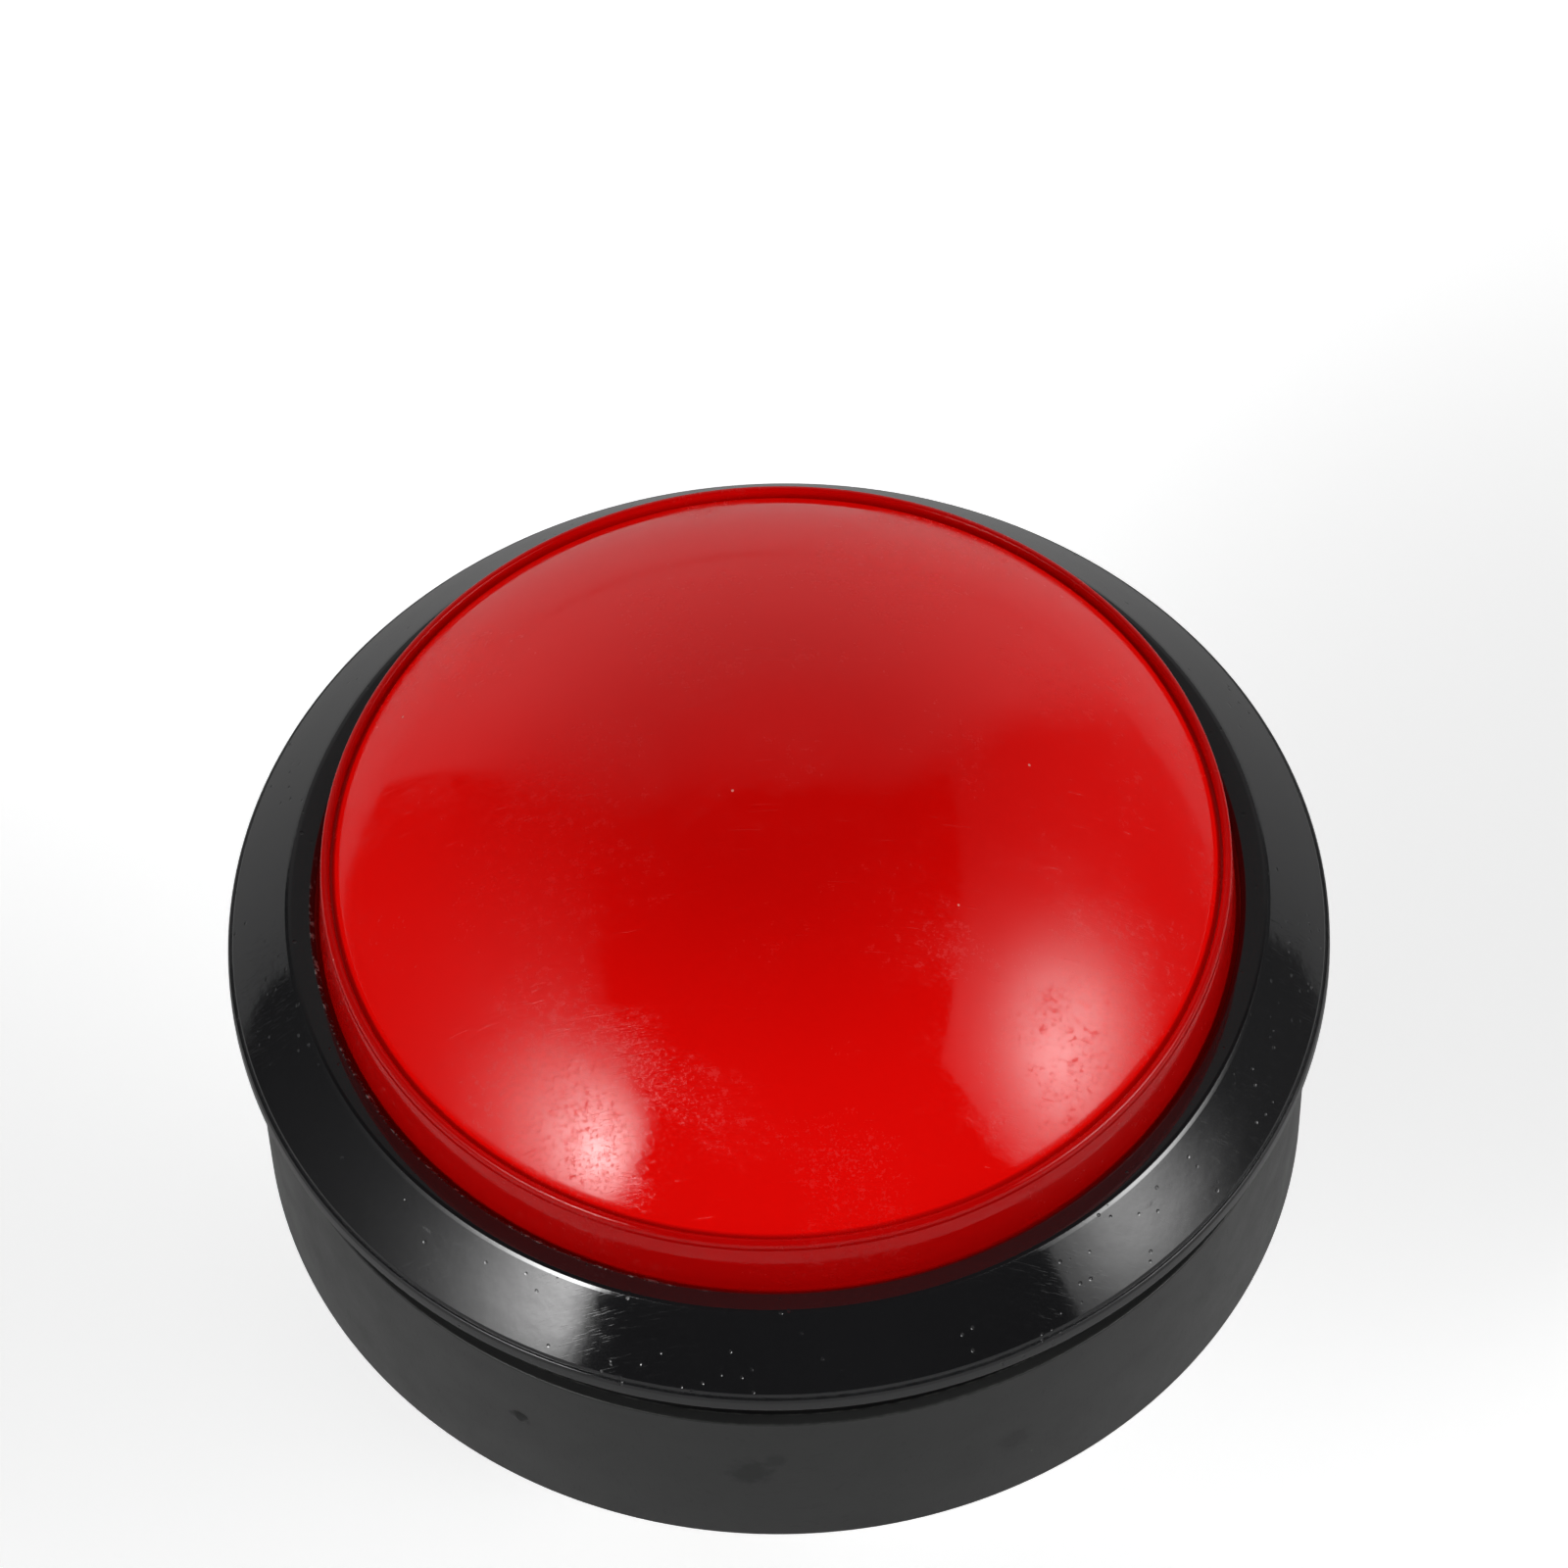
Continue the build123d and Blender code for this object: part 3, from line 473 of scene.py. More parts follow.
# ---- black plastics -------------------------------------------------
def black_plastic(name, lo, hi, rough_lo, rough_hi, grain=0.0, hair_amt=0.0, wear=0.25, tone=(0.09, 0.09, 0.09), pits=0.0,
                  flash=0.0, marks=(), step=None, lip=None, spec=0.5):
    mt = Mat(name, IOR=1.54, Specular_IOR_Level=spec)
    cloud = mt.noise(0.05, 4.0, 0.55)
    fine = mt.noise(1.4, 4.0, 0.6)
    base = mt.mix(mt.math("ADD", mt.math("MULTIPLY", cloud, 0.6), mt.math("MULTIPLY", fine, 0.4)), lo, hi)
    # painted shade: inside the groove above the drum's top edge the colour is made near black, standing in for the
    # shade in that recess
    if step is not None:
        recess_shade = mt.math("MULTIPLY", mt.remap(mt.xyz()[2], step[1] - 0.02, step[1] + 0.05, 0.0, 1.0),
                         mt.remap(mt.radius(), step[0] + 0.3, step[0] + 0.1, 0.0, 1.0))
        base = mt.mix(recess_shade, base, (0.0040, 0.0040, 0.0042))
    edges = edge_wear(mt)
    ew = mt.math("MULTIPLY", edges, mt.remap(mt.noise(0.9, 4.0, 0.65), 0.42, 0.62, 0.0, wear))
    base = mt.mix(ew, base, tone)
    dust = mt.specks(0.42, 0.050, 0.90)
    base = mt.mix(mt.math("MULTIPLY", dust, 0.5), base, (0.30, 0.29, 0.28))
    r = mt.remap(mt.noise(0.16, 4.0, 0.62), 0.3, 0.7, rough_lo, rough_hi)
    for (x, y, z, size, dark) in marks:
        wob = mt.math("MULTIPLY", mt.math("SUBTRACT", mt.noise(0.9, 4.0, 0.6), 0.5), size * 1.3)
        ds = mt.n("ShaderNodeVectorMath", operation="DISTANCE")
        mt.t.links.new(mt.mm, ds.inputs[0])
        ds.inputs[1].default_value = (x, y, z)
        near = mt.remap(mt.math("ADD", ds.outputs["Value"], wob), size * 0.35, size, dark, 0.0, "SMOOTHSTEP")
        base = mt.mix(near, base, (0.002, 0.002, 0.002))
        r = mt.math("ADD", r, mt.math("MULTIPLY", near, 0.22))
    painted_lip_glint = None
    # painted highlight: a light broken line on the lip's inner edge, at the front left only, stands in for the glints
    # there; a bump also raises it as a small burr
    if lip is not None:
        ring = mt.math("MULTIPLY", mt.remap(mt.radius(), lip[0] + 0.55, lip[0] + 0.42, 0.0, 1.0),
                       mt.remap(mt.xyz()[2], lip[1] - 0.42, lip[1] - 0.30, 0.0, 1.0))
        ring = mt.math("MULTIPLY", ring, mt.math("MULTIPLY", mt.remap(mt.xyz()[0], -6.0, -16.0, 0.0, 1.0),
                                                 mt.remap(mt.xyz()[1], 8.0, -6.0, 0.0, 1.0)))
        painted_lip_glint = mt.math("MULTIPLY", ring, mt.remap(mt.noise(1.3, 5.0, 0.72), 0.53, 0.61, 0.0, 1.0))
        base = mt.mix(painted_lip_glint, base, (0.40, 0.40, 0.39))
    mt.link(base, "Base Color")
    hair = mt.scratches([0.1, 0.9, 1.9, 2.7], 0.22, 8.0, 0.665, seed=0.5)
    r = mt.math("ADD", r, mt.math("MULTIPLY", hair, hair_amt))
    b = mt.bump(mt.noise(0.30, 3.0, 0.55), 0.03, 0.0004)
    if grain:
        b = mt.bump(mt.noise(9.0, 3.0, 0.7), grain, 0.00004, after=b)
    if pits:
        pit = mt.specks(1.1, 0.22, 0.72)
        zone = mt.remap(mt.noise(0.12, 3.0, 0.6), 0.45, 0.62, 0.0, 1.0)
        pit = mt.math("MULTIPLY", pit, zone)
        r = mt.math("ADD", r, mt.math("MULTIPLY", pit, 0.35))
        b = mt.bump(pit, pits, -0.00006, after=b)
        b = mt.bump(mt.noise(1.7, 5.0, 0.68), pits * 0.03, 0.00006, after=b)
    if painted_lip_glint is not None:
        b = mt.bump(painted_lip_glint, 0.6, 0.00012, after=b)
    if flash:
        burr = mt.math("MULTIPLY", edges, mt.noise(5.0, 3.0, 0.7))
        b = mt.bump(burr, flash, 0.00020, after=b)
    mt.link(mt.math("ADD", r, mt.math("MULTIPLY", dust, 0.3), clamp=True), "Roughness")
    b = mt.bump(hair, 0.10, 0.00001, after=b)
    mt.link(b, "Normal")
    return mt.mat


# ---- milky nylon ----------------------------------------------------
def nylon(name, c0, c1):
    mt = Mat(name, IOR=1.53, Specular_IOR_Level=0.45, Subsurface_Weight=0.55,
             Subsurface_Radius=(0.0022, 0.0021, 0.0020), Subsurface_Scale=1.0)
    cloud = mt.noise(0.16, 4.0, 0.55)
    flow = mt.noise(1.0, 3.0, 0.5, vec=mt.scaled(0.25, 0.25, 0.06))
    base = mt.mix(mt.math("ADD", mt.math("MULTIPLY", cloud, 0.5), mt.math("MULTIPLY", flow, 0.5)), c0, c1)
    mt.link(base, "Base Color")
    mt.link(mt.remap(mt.noise(0.5, 4.0, 0.6), 0.3, 0.7, 0.30, 0.46), "Roughness")
    b = mt.bump(mt.noise(0.5, 3.0, 0.5), 0.12, 0.0003)
    b = mt.bump(mt.noise(6.0, 3.0, 0.6), 0.15, 0.00003, after=b)
    mt.link(b, "Normal")
    return mt.mat


# ---- metals ---------------------------------------------------------
def metal(name, c0, c1, r0, r1, brush=(0.4, 12.0, 12.0), speck=0.0, speck_col=(0.25, 0.24, 0.22), bumpy=0.12):
    mt = Mat(name, Metallic=1.0)
    run = mt.noise(1.0, 4.0, 0.65, vec=mt.scaled(*brush))
    cloud = mt.noise(0.5, 4.0, 0.6)
    base = mt.mix(mt.math("ADD", mt.math("MULTIPLY", run, 0.5), mt.math("MULTIPLY", cloud, 0.5)), c0, c1)
    ew = edge_wear(mt, 0.12)
    base = mt.mix(mt.math("MULTIPLY", ew, 0.5), base, tuple(min(1.0, v * 1.35) for v in c1))
    rough = mt.remap(run, 0.3, 0.7, r0, r1)
    if speck:
        sp = mt.remap(mt.noise(3.2, 3.0, 0.7), 0.56, 0.66, 0.0, speck)
        base = mt.mix(sp, base, speck_col)
        rough = mt.math("ADD", rough, mt.math("MULTIPLY", sp, 0.3), clamp=True)
    mt.link(base, "Base Color")
    mt.link(rough, "Roughness")
    b = mt.bump(run, bumpy, 0.00002)
    mt.link(b, "Normal")
    return mt.mat


# ---- other mouldings ------------------------------------------------
def moulded(name, c0, c1, r0, r1, grain, grain_mm=6.0, sss=0.0, wear=None):
    mt = Mat(name, IOR=1.5, Specular_IOR_Level=0.5)
    cloud = mt.noise(0.35, 4.0, 0.6)
    fine = mt.noise(grain_mm, 3.0, 0.6)
    base = mt.mix(mt.math("ADD", mt.math("MULTIPLY", cloud, 0.55), mt.math("MULTIPLY", fine, 0.45)), c0, c1)
    if wear:
        ew = mt.math("MULTIPLY", edge_wear(mt, 0.18), mt.remap(mt.noise(1.2, 4.0, 0.6), 0.4, 0.6, 0.0, 0.6))
        base = mt.mix(ew, base, wear)
    mt.link(base, "Base Color")
    mt.link(mt.remap(mt.noise(0.8, 4.0, 0.6), 0.3, 0.7, r0, r1), "Roughness")
    b = mt.bump(mt.noise(0.6, 2.0, 0.5), 0.06, 0.0003)
    b = mt.bump(fine, grain, 0.00004, after=b)
    mt.link(b, "Normal")
    if sss:
        mt.set(Subsurface_Weight=sss, Subsurface_Radius=(0.0015, 0.0002, 0.0002), Subsurface_Scale=1.0)
    return mt.mat


def clear_epoxy(name):
    mt = Mat(name, IOR=1.53, Transmission_Weight=1.0, Specular_IOR_Level=0.5)
    mt.link(mt.mix(mt.noise(1.5, 2.0, 0.5), (0.93, 0.93, 0.92), (0.99, 0.99, 0.985)), "Base Color")
    mt.link(mt.remap(mt.noise(2.0, 3.0, 0.5), 0.3, 0.7, 0.03, 0.09), "Roughness")
    mt.link(mt.bump(mt.noise(1.0, 2.0, 0.5), 0.05, 0.0002), "Normal")
    return mt.mat


MATS = {
    "red_lens": red_lens("red_lens", False),
    "red_skirt": red_lens("red_skirt", True),
    "black_gloss": black_plastic("black_gloss", (0.0098, 0.0098, 0.0106), (0.0160, 0.0160, 0.0172), 0.045, 0.105,
                                 # lip: where the painted highlight line runs on the bezel's inner edge
                                 hair_amt=0.12, wear=0.35, pits=0.6, flash=0.5, lip=(42.0, 33.1), spec=0.78),
    "black_satin": black_plastic("black_satin", (0.024, 0.0245, 0.024), (0.037, 0.0375, 0.037), 0.29, 0.39,
                                 grain=0.08, hair_amt=0.06, wear=0.5, tone=(0.16, 0.16, 0.15), flash=0.3,
                                 # step: the groove that gets the painted shade
                                 step=(47.0, 20.2),
                                 marks=((-24.9, -40.6, 11.6, 1.25, 0.9), (-4.2, -47.6, 11.5, 2.8, 0.5), (-2.0, -47.7, 13.6, 1.5, 0.35), (20.0, -43.4, 9.0, 2.2, 0.3))),
    "nut_black": black_plastic("nut_black", (0.010, 0.010, 0.010), (0.018, 0.018, 0.018), 0.36, 0.5, grain=0.14,
                               hair_amt=0.08, wear=0.5, tone=(0.12, 0.12, 0.12)),
    "white_nylon": nylon("white_nylon", (0.66, 0.68, 0.67), (0.78, 0.79, 0.78)),
    "steel_spring": metal("steel_spring", (0.42, 0.42, 0.41), (0.62, 0.62, 0.60), 0.22, 0.36, bumpy=0.08),
    "screw_steel": metal("screw_steel", (0.46, 0.46, 0.42), (0.66, 0.65, 0.60), 0.28, 0.42, (2.0, 2.0, 2.0), 0.3),
    "contact_steel": metal("contact_steel", (0.30, 0.30, 0.295), (0.46, 0.46, 0.45), 0.30, 0.44, (9.0, 9.0, 0.5), 0.25),
    "lamp_red": moulded("lamp_red", (0.62, 0.008, 0.010), (0.76, 0.020, 0.018), 0.34, 0.48, 0.12, sss=0.2,
                        wear=(0.85, 0.12, 0.10)),
    "led_clear": clear_epoxy("led_clear"),
    "lead_wire": metal("lead_wire", (0.58, 0.55, 0.50), (0.76, 0.74, 0.70), 0.2, 0.32, (4.0, 4.0, 0.6)),
    "switch_black": moulded("switch_black", (0.008, 0.008, 0.009), (0.017, 0.017, 0.018), 0.34, 0.50, 0.45, 4.0,
                            wear=(0.10, 0.10, 0.10)),
    "switch_tan": moulded("switch_tan", (0.36, 0.245, 0.060), (0.50, 0.360, 0.105), 0.42, 0.56, 0.30, 5.0,
                          wear=(0.62, 0.48, 0.20)),
    "button_black": moulded("button_black", (0.010, 0.010, 0.010), (0.018, 0.018, 0.018), 0.22, 0.34, 0.05, 5.0),
    "tab_silver": metal("tab_silver", (0.50, 0.49, 0.44), (0.72, 0.71, 0.66), 0.26, 0.42, (6.0, 1.0, 6.0), 0.6),
    "blade_copper": metal("blade_copper", (0.52, 0.30, 0.16), (0.68, 0.42, 0.25), 0.24, 0.36, (8.0, 0.6, 8.0)),
    "contact_silver": metal("contact_silver", (0.66, 0.65, 0.63), (0.84, 0.83, 0.81), 0.2, 0.34, (3.0, 3.0, 3.0)),
}


# =====================================================================
# CAD nodes that keep their own shape: smooth shading, small rounded edges
# =====================================================================
def smooth_group():
    g = bpy.data.node_groups.new("smooth_by_angle", "GeometryNodeTree")
    g.interface.new_socket("Geometry", in_out="INPUT", socket_type="NodeSocketGeometry")
    g.interface.new_socket("Geometry", in_out="OUTPUT", socket_type="NodeSocketGeometry")
    i, o = g.nodes.new("NodeGroupInput"), g.nodes.new("NodeGroupOutput")
    rm = g.nodes.new("GeometryNodeRemoveAttribute")
    rm.inputs["Name"].default_value = "custom_normal"
    s1 = g.nodes.new("GeometryNodeSetShadeSmooth")
    s1.domain = "FACE"
    s1.inputs["Shade Smooth"].default_value = True
    s2 = g.nodes.new("GeometryNodeSetShadeSmooth")
    s2.domain = "EDGE"
    s2.inputs["Shade Smooth"].default_value = False
    ea = g.nodes.new("GeometryNodeInputMeshEdgeAngle")
    cp = g.nodes.new("FunctionNodeCompare")
    cp.data_type, cp.operation = "FLOAT", "GREATER_THAN"
    cp.inputs[1].default_value = math.radians(32)
    g.links.new(i.outputs[0], rm.inputs[0])
    g.links.new(rm.outputs[0], s1.inputs["Geometry"])
    g.links.new(s1.outputs[0], s2.inputs["Geometry"])
    g.links.new(ea.outputs["Unsigned Angle"], cp.inputs[0])
    g.links.new(cp.outputs[0], s2.inputs["Selection"])
    g.links.new(s2.outputs[0], o.inputs[0])
    return g


SMOOTH = smooth_group()


def dress(ob, mat, bevel=0.0):
    me = ob.data
    me.materials.clear()
    me.materials.append(mat)
    w = ob.modifiers.new("weld", "WELD")
    w.merge_threshold = 2e-6
    if bevel:
        b = ob.modifiers.new("edge", "BEVEL")
        b.width = bevel * 0.001
        b.segments = 2
        b.limit_method = "ANGLE"
        b.angle_limit = math.radians(40)
        b.use_clamp_overlap = True
    s = ob.modifiers.new("smooth", "NODES")
    s.node_group = SMOOTH


def slot_of(node):
    for s in frame["record"]["subparts"]:
        if s["node"] == node:
            return s["material_slot"]


BEVELS = {"plunger_carrier": 0.2, "mounting_nut": 0.22, "lamp_holder": 0.16, "lamp_contact_front": 0.05,
          "lamp_contact_rear": 0.05, "lamp_body": 0.1, "switch_cover": 0.08, "switch_base": 0.15,
          "switch_com_terminal": 0.06, "switch_no_terminal": 0.06, "switch_snap_blade": 0.03,
          "bezel_screws": 0.08, "switch_contacts": 0.1}
for nm, ob in NODES.items():
    dress(ob, MATS[slot_of(nm)], BEVELS.get(nm, 0.0))


def take(piece, node, body):
    """The piece stands for a CAD node, with its slot's material."""
    piece.data.materials.clear()
    piece.data.materials.append(MATS[slot_of(node)])
    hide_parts(node)
    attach(piece, body)


# =====================================================================
# dome cap: one long crown, small rounded edge, real wall
# =====================================================================
CAP_R, CAP_EDGE, CAP_SEAT, APEX, WALL = 40.35, 39.0, 38.4, 57.2, 2.0
rise = APEX - CAP_EDGE
RC = (CAP_R ** 2 + rise ** 2) / (2 * rise)
ZC = APEX - RC
NS, FR = 64, 3.2
cx_ = CAP_R - FR
cz_ = ZC + math.sqrt((RC - FR) ** 2 - cx_ ** 2)
tf = math.atan2(cx_, cz_ - ZC)
te = math.acos((CAP_SEAT + 0.07 - cz_) / FR)
prof = [(RC * math.sin(tf * i / NS), ZC + RC * math.cos(tf * i / NS)) for i in range(NS + 1)]
for i in range(1, 13):
    a = tf + (te - tf) * i / 12
    prof.append((cx_ + FR * math.sin(a), cz_ + FR * math.cos(a)))
prof.append((prof[-1][0] - 0.05, CAP_SEAT))
ri = RC - WALL
r_seat = math.sqrt(ri ** 2 - (CAP_SEAT - ZC) ** 2)
th2 = math.asin(r_seat / ri)
for i in range(25):
    a = th2 * (1 - i / 24)
    prof.append((ri * math.sin(a) if i < 24 else 0.0, ZC + ri * math.cos(a)))
prof[0] = (0.0, APEX)
cap = lathe("dome_cap_lens", prof, closed=False, sharp=50)
take(cap, "dome_cap", "dome")

# =====================================================================
# dome skirt: ring with its rolled bead, flange notched round the posts
# =====================================================================
PCR, POST_AZ = 44.2, [math.radians(45 + 90 * i) for i in range(4)]


def notch(r, z, a):
    if r > 42.0 and z < 31.0:
        for p in POST_AZ:
            d = (a - p + math.pi) % (2 * math.pi) - math.pi
            s = PCR * math.sin(d)
            if abs(d) < 0.2 and abs(s) < 2.6:
                return min(r, PCR * math.cos(d) - math.sqrt(2.6 ** 2 - s * s)), z
    return r, z


bead = [(41.26, 38.50), (41.32, 38.80), (41.33, 39.10), (41.26, 39.36), (41.10, 39.53), (40.88, 39.595), (40.68, 39.54),
        (40.55, 39.38), (40.48, 39.2)]
prof = [(39.4, 29.4), (44.4, 29.4), (44.4, 30.9), (41.9, 30.9), (41.64, 31.2), (41.52, 33.1), (41.41, 36.4), (41.31, 38.1), (41.24, 38.3)]
prof = soften(prof + bead + [(40.47, 38.42), (39.4, 38.40), (39.4, 32.6), (37.8, 32.6), (37.8, 31.62), (39.4, 31.62)],
              {1: 0.2, 2: 0.2, len(prof + bead) + 2: 0.1, len(prof + bead) + 3: 0.15})
skirt = lathe("dome_skirt_ring", prof, warp=notch, sharp=42)
take(skirt, "dome_skirt", "dome")

# =====================================================================
# bezel ring: rolled lower band, coned face, flat lip
# =====================================================================
prof = [(44.9, 25.15), (49.68, 25.15), (50.0, 25.5), (50.0, 26.62), (49.87, 26.95), (49.64, 27.02), (49.60, 27.22),
        (49.52, 27.40), (47.4, 29.75), (44.70, 32.76), (44.42, 33.03), (44.10, 33.1), (42.42, 33.1), (42.0, 32.72),
        (42.0, 31.3), (42.3, 31.0), (44.9, 31.0)]
prof = soften(prof, {1: 0.15, 2: 0.25, 3: 0.2, 4: 0.12, 5: 0.05, 6: 0.05, 7: 0.12, 9: 0.2, 10: 0.15, 11: 0.2, 12: 0.25, 13: 0.2,
                     14: 0.1, 15: 0.1, 16: 0.3})
ring = lathe("bezel_body", prof, sharp=42)
posts = []
for i, a in enumerate(POST_AZ):
    x, y = PCR * math.cos(a), PCR * math.sin(a)
    posts.append(lathe("post%d" % i, soften([(1.1, 20.2), (2.1, 20.2), (2.1, 31.0), (0.0, 31.0), (0.0, 29.8), (1.1, 29.8)],
                                            {0: 0.08, 1: 0.12}), n=32, cx=x, cy=y))
bez = join([ring] + posts, "bezel_ring_body")
finish_mesh(bez, 42)
take(bez, "bezel_ring", "housing")

# =====================================================================
# base shell: turned drum with neck, ribs, bosses, recesses and a real thread
# =====================================================================
prof = [(43.2, 0.0), (46.72, 0.0), (46.97, 0.24), (47.56, 10.2), (48.15, 20.02), (48.09, 20.16), (47.93, 20.2),
        (47.0, 20.2), (47.0, 25.14), (45.0, 25.14), (45.0, 4.5), (12.0, 4.5), (12.0, 12.0), (10.05, 12.0),
        (10.05, -30.0), (11.1, -30.0), (11.38, -29.6), (11.38, -10.0), (12.0, -9.7), (12.0, 0.0), (15.5, 0.0), (15.5, 2.5),
        (43.2, 2.5)]
prof = soften(prof, {0: 0.2, 1: 0.1, 2: 0.15, 4: 0.12, 5: 0.1, 6: 0.1, 8: 0.15, 9: 0.15, 10: 0.8, 11: 0.5, 12: 0.3, 13: 0.3,
                     14: 0.2, 15: 0.15, 18: 0.15, 19: 0.2, 20: 0.2, 21: 0.3, 22: 0.3})
base = lathe("base_body", prof, n=240, sharp=38)
adds = []
for i in range(8):
    adds.append(block("rib%d" % i, 15.2, 43.5, -0.8, 0.8, 0.4, 2.7, math.radians(22.5 + 45 * i)))
for i, a in enumerate(POST_AZ):
    x, y = PCR * math.cos(a), PCR * math.sin(a)
    adds.append(lathe("boss%d" % i, [(0, 2.0), (2.4, 2.0), (2.4, 20.18), (0, 20.18)], n=40, closed=False, cx=x, cy=y))
    adds.append(block("pad%d" % i, 40.6, 44.0, -2.6, 2.6, 0.03, 2.83, a))
ringm = lathe("mid_ring", [(29.0, 0.45), (30.6, 0.45), (30.6, 2.76), (29.0, 2.76)], n=160)
boolean(base, join([ringm] + adds, "adds"), "UNION", True)
cuts = []
for i, a in enumerate(POST_AZ):
    x, y = PCR * math.cos(a), PCR * math.sin(a)
    cuts.append(lathe("cb%d" % i, [(0, -1), (2.1, -1), (2.1, 2.6), (1.35, 2.6), (1.35, 20.21), (2.2, 20.21), (2.2, 26), (0, 26)],
                      n=40, closed=False, cx=x, cy=y))
for a in (90.0, 270.0):
    cuts.append(sector("ls%d" % a, 9.4, 13.0, -27.65, -25.95, a - 9.5, a + 34.5, 20))
    cuts.append(sector("le%d" % a, 9.3, 13.1, -31.0, -26.4, a + 15.5, a + 34.2, 12))
cuts.append(block("key", -13.0, -9.45, -1.3, 1.3, 5.5, 13.0))
boolean(base, join(cuts, "cuts"), "DIFFERENCE", True)
heal(base)


def thread_rope(name, z_hi, z_lo, pitch, root, crest, per_turn=96):
    """One closed helical ridge that runs in and out at its ends."""
    turns = (z_hi - z_lo) / pitch
    n = int(turns * per_turn)
    vs, fs = [], []
    for i in range(n + 1):
        t = i / n
        a = 2 * math.pi * turns * t
        z = z_hi - (z_hi - z_lo) * t
        k = min(1.0, i / (0.4 * per_turn), (n - i) / (0.4 * per_turn))
        h = root - 0.12 + (crest - root + 0.12) * max(k, 0.02)
        w = 0.46 * (0.35 + 0.65 * k)
        for (r, dz) in ((root - 0.12, w), (h, 0.10 * k + 0.01), (h, -0.10 * k - 0.01), (root - 0.12, -w)):
            vs.append((r * math.cos(a), r * math.sin(a), z + dz))
    for i in range(n):
        b, c = 4 * i, 4 * i + 4
        for j in range(4):
            fs.append((b + j, b + (j + 1) % 4, c + (j + 1) % 4, c + j))
    fs += [(3, 2, 1, 0), (4 * n, 4 * n + 1, 4 * n + 2, 4 * n + 3)]
    return new_obj(name, vs, fs, 30)


# gate mark on the drum's front
def witness(name, az, z, r_mm, depth):
    a = math.radians(az)
    rr = 46.97 + (48.15 - 46.97) * z / 20.2
    nrm = Vector((math.sin(a), -math.cos(a), -0.055)).normalized()
    side = nrm.cross(Vector((0, 0, 1))).normalized()
    up = side.cross(nrm)
    c = Vector((rr * math.sin(a), -rr * math.cos(a), z))
    vs, fs = [], []
    rings = [(0.0, depth), (0.45, depth * 0.8), (0.8, depth * 0.5), (1.0, -0.05), (1.0, -0.4)]
    n = 20
    vs.append(tuple(c + nrm * depth))
    for (f, d) in rings[1:]:
        for k in range(n):
            t = 2 * math.pi * k / n
            w = 1.0 + 0.12 * math.sin(3 * t + az)
            vs.append(tuple(c + side * (f * r_mm * w * math.cos(t)) + up * (f * r_mm * 1.15 * w * math.sin(t)) + nrm * d))
    for k in range(n):
        fs.append((0, 1 + k, 1 + (k + 1) % n))
    for q in range(3):
        for k in range(n):
            a0, a1 = 1 + q * n + k, 1 + q * n + (k + 1) % n
            fs.append((a0, a0 + n, a1 + n, a1))
    fs.append(tuple(1 + 3 * n + k for k in range(n)))
    return new_obj(name, vs, fs, 25)


rope = thread_rope("thread", -10.3, -24.9, 1.2, 11.38, 11.98)
gate = witness("gate", -31.5, 11.6, 0.85, 0.10)
base = join([base, rope, gate], "base_shell_body")
finish_mesh(base, 38)
take(base, "base_shell", "housing")

# =====================================================================
# return spring: closed and ground end coils, squashed by the press
# =====================================================================
WR, SR, Z0, Z1 = 0.6, 14.6, 4.52, 29.58
pts = []
turns_dead, turns_live = 1.0, 5.2
total = 2 * turns_dead + turns_live
n = int(total * 40)
for i in range(n + 1):
    t = total * i / n
    if t < turns_dead:
        z = Z0 + WR + 1.3 * WR * t / turns_dead
    elif t > total - turns_dead:
        z = Z1 - WR - 1.3 * WR * (total - t) / turns_dead
    else:
        f = (t - turns_dead) / turns_live
        f = f * f * (3 - 2 * f) * 0.25 + f * 0.75
        z = (Z0 + WR + 1.3 * WR) + f * (Z1 - Z0 - 2 * WR - 2.6 * WR)
    a = 2 * math.pi * t
    pts.append((SR * math.cos(a), SR * math.sin(a), z))
spr = tube("return_spring_coil", pts, WR, 12)
spr.data.materials.append(MATS["steel_spring"])
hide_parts("return_spring")
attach(spr, "housing")
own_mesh(spr)

# =====================================================================
# microswitch button and LED as clean turned pieces
# =====================================================================
BX, BT = -8.95, -32.2
bp = [(0.0, BT + 1.8)] + [(1.5 * math.sin(math.radians(q)), BT + 0.3 + 1.5 * math.cos(math.radians(q))) for q in
                          (12, 24, 36, 48, 60, 72, 84, 90)] + [(1.5, BT - 1.4), (2.02, BT - 1.45), (2.1, BT - 1.55), (2.1, BT - 2.38),
                                                               (2.02, BT - 2.45), (0.0, BT - 2.45)]
btn = lathe("switch_button_pip", bp, n=48, closed=False, cx=BX, sharp=50)
take(btn, "switch_button", "actuator")

LZ = -10.0 + 12.6
lp = [(0.0, LZ + 2.92), (1.1, LZ + 2.96), (1.55, LZ + 3.16), (1.9, LZ + 3.28), (2.25, LZ + 3.3), (2.44, LZ + 3.2), (2.5, LZ + 3.0),
      (2.5, LZ + 0.15), (2.75, LZ + 0.1), (2.8, LZ), (2.8, LZ - 0.66), (0.0, LZ - 0.66)]
led = lathe("lamp_led_body", lp, n=64, closed=False, sharp=45)
take(led, "lamp_led", "lamp_switch_unit")

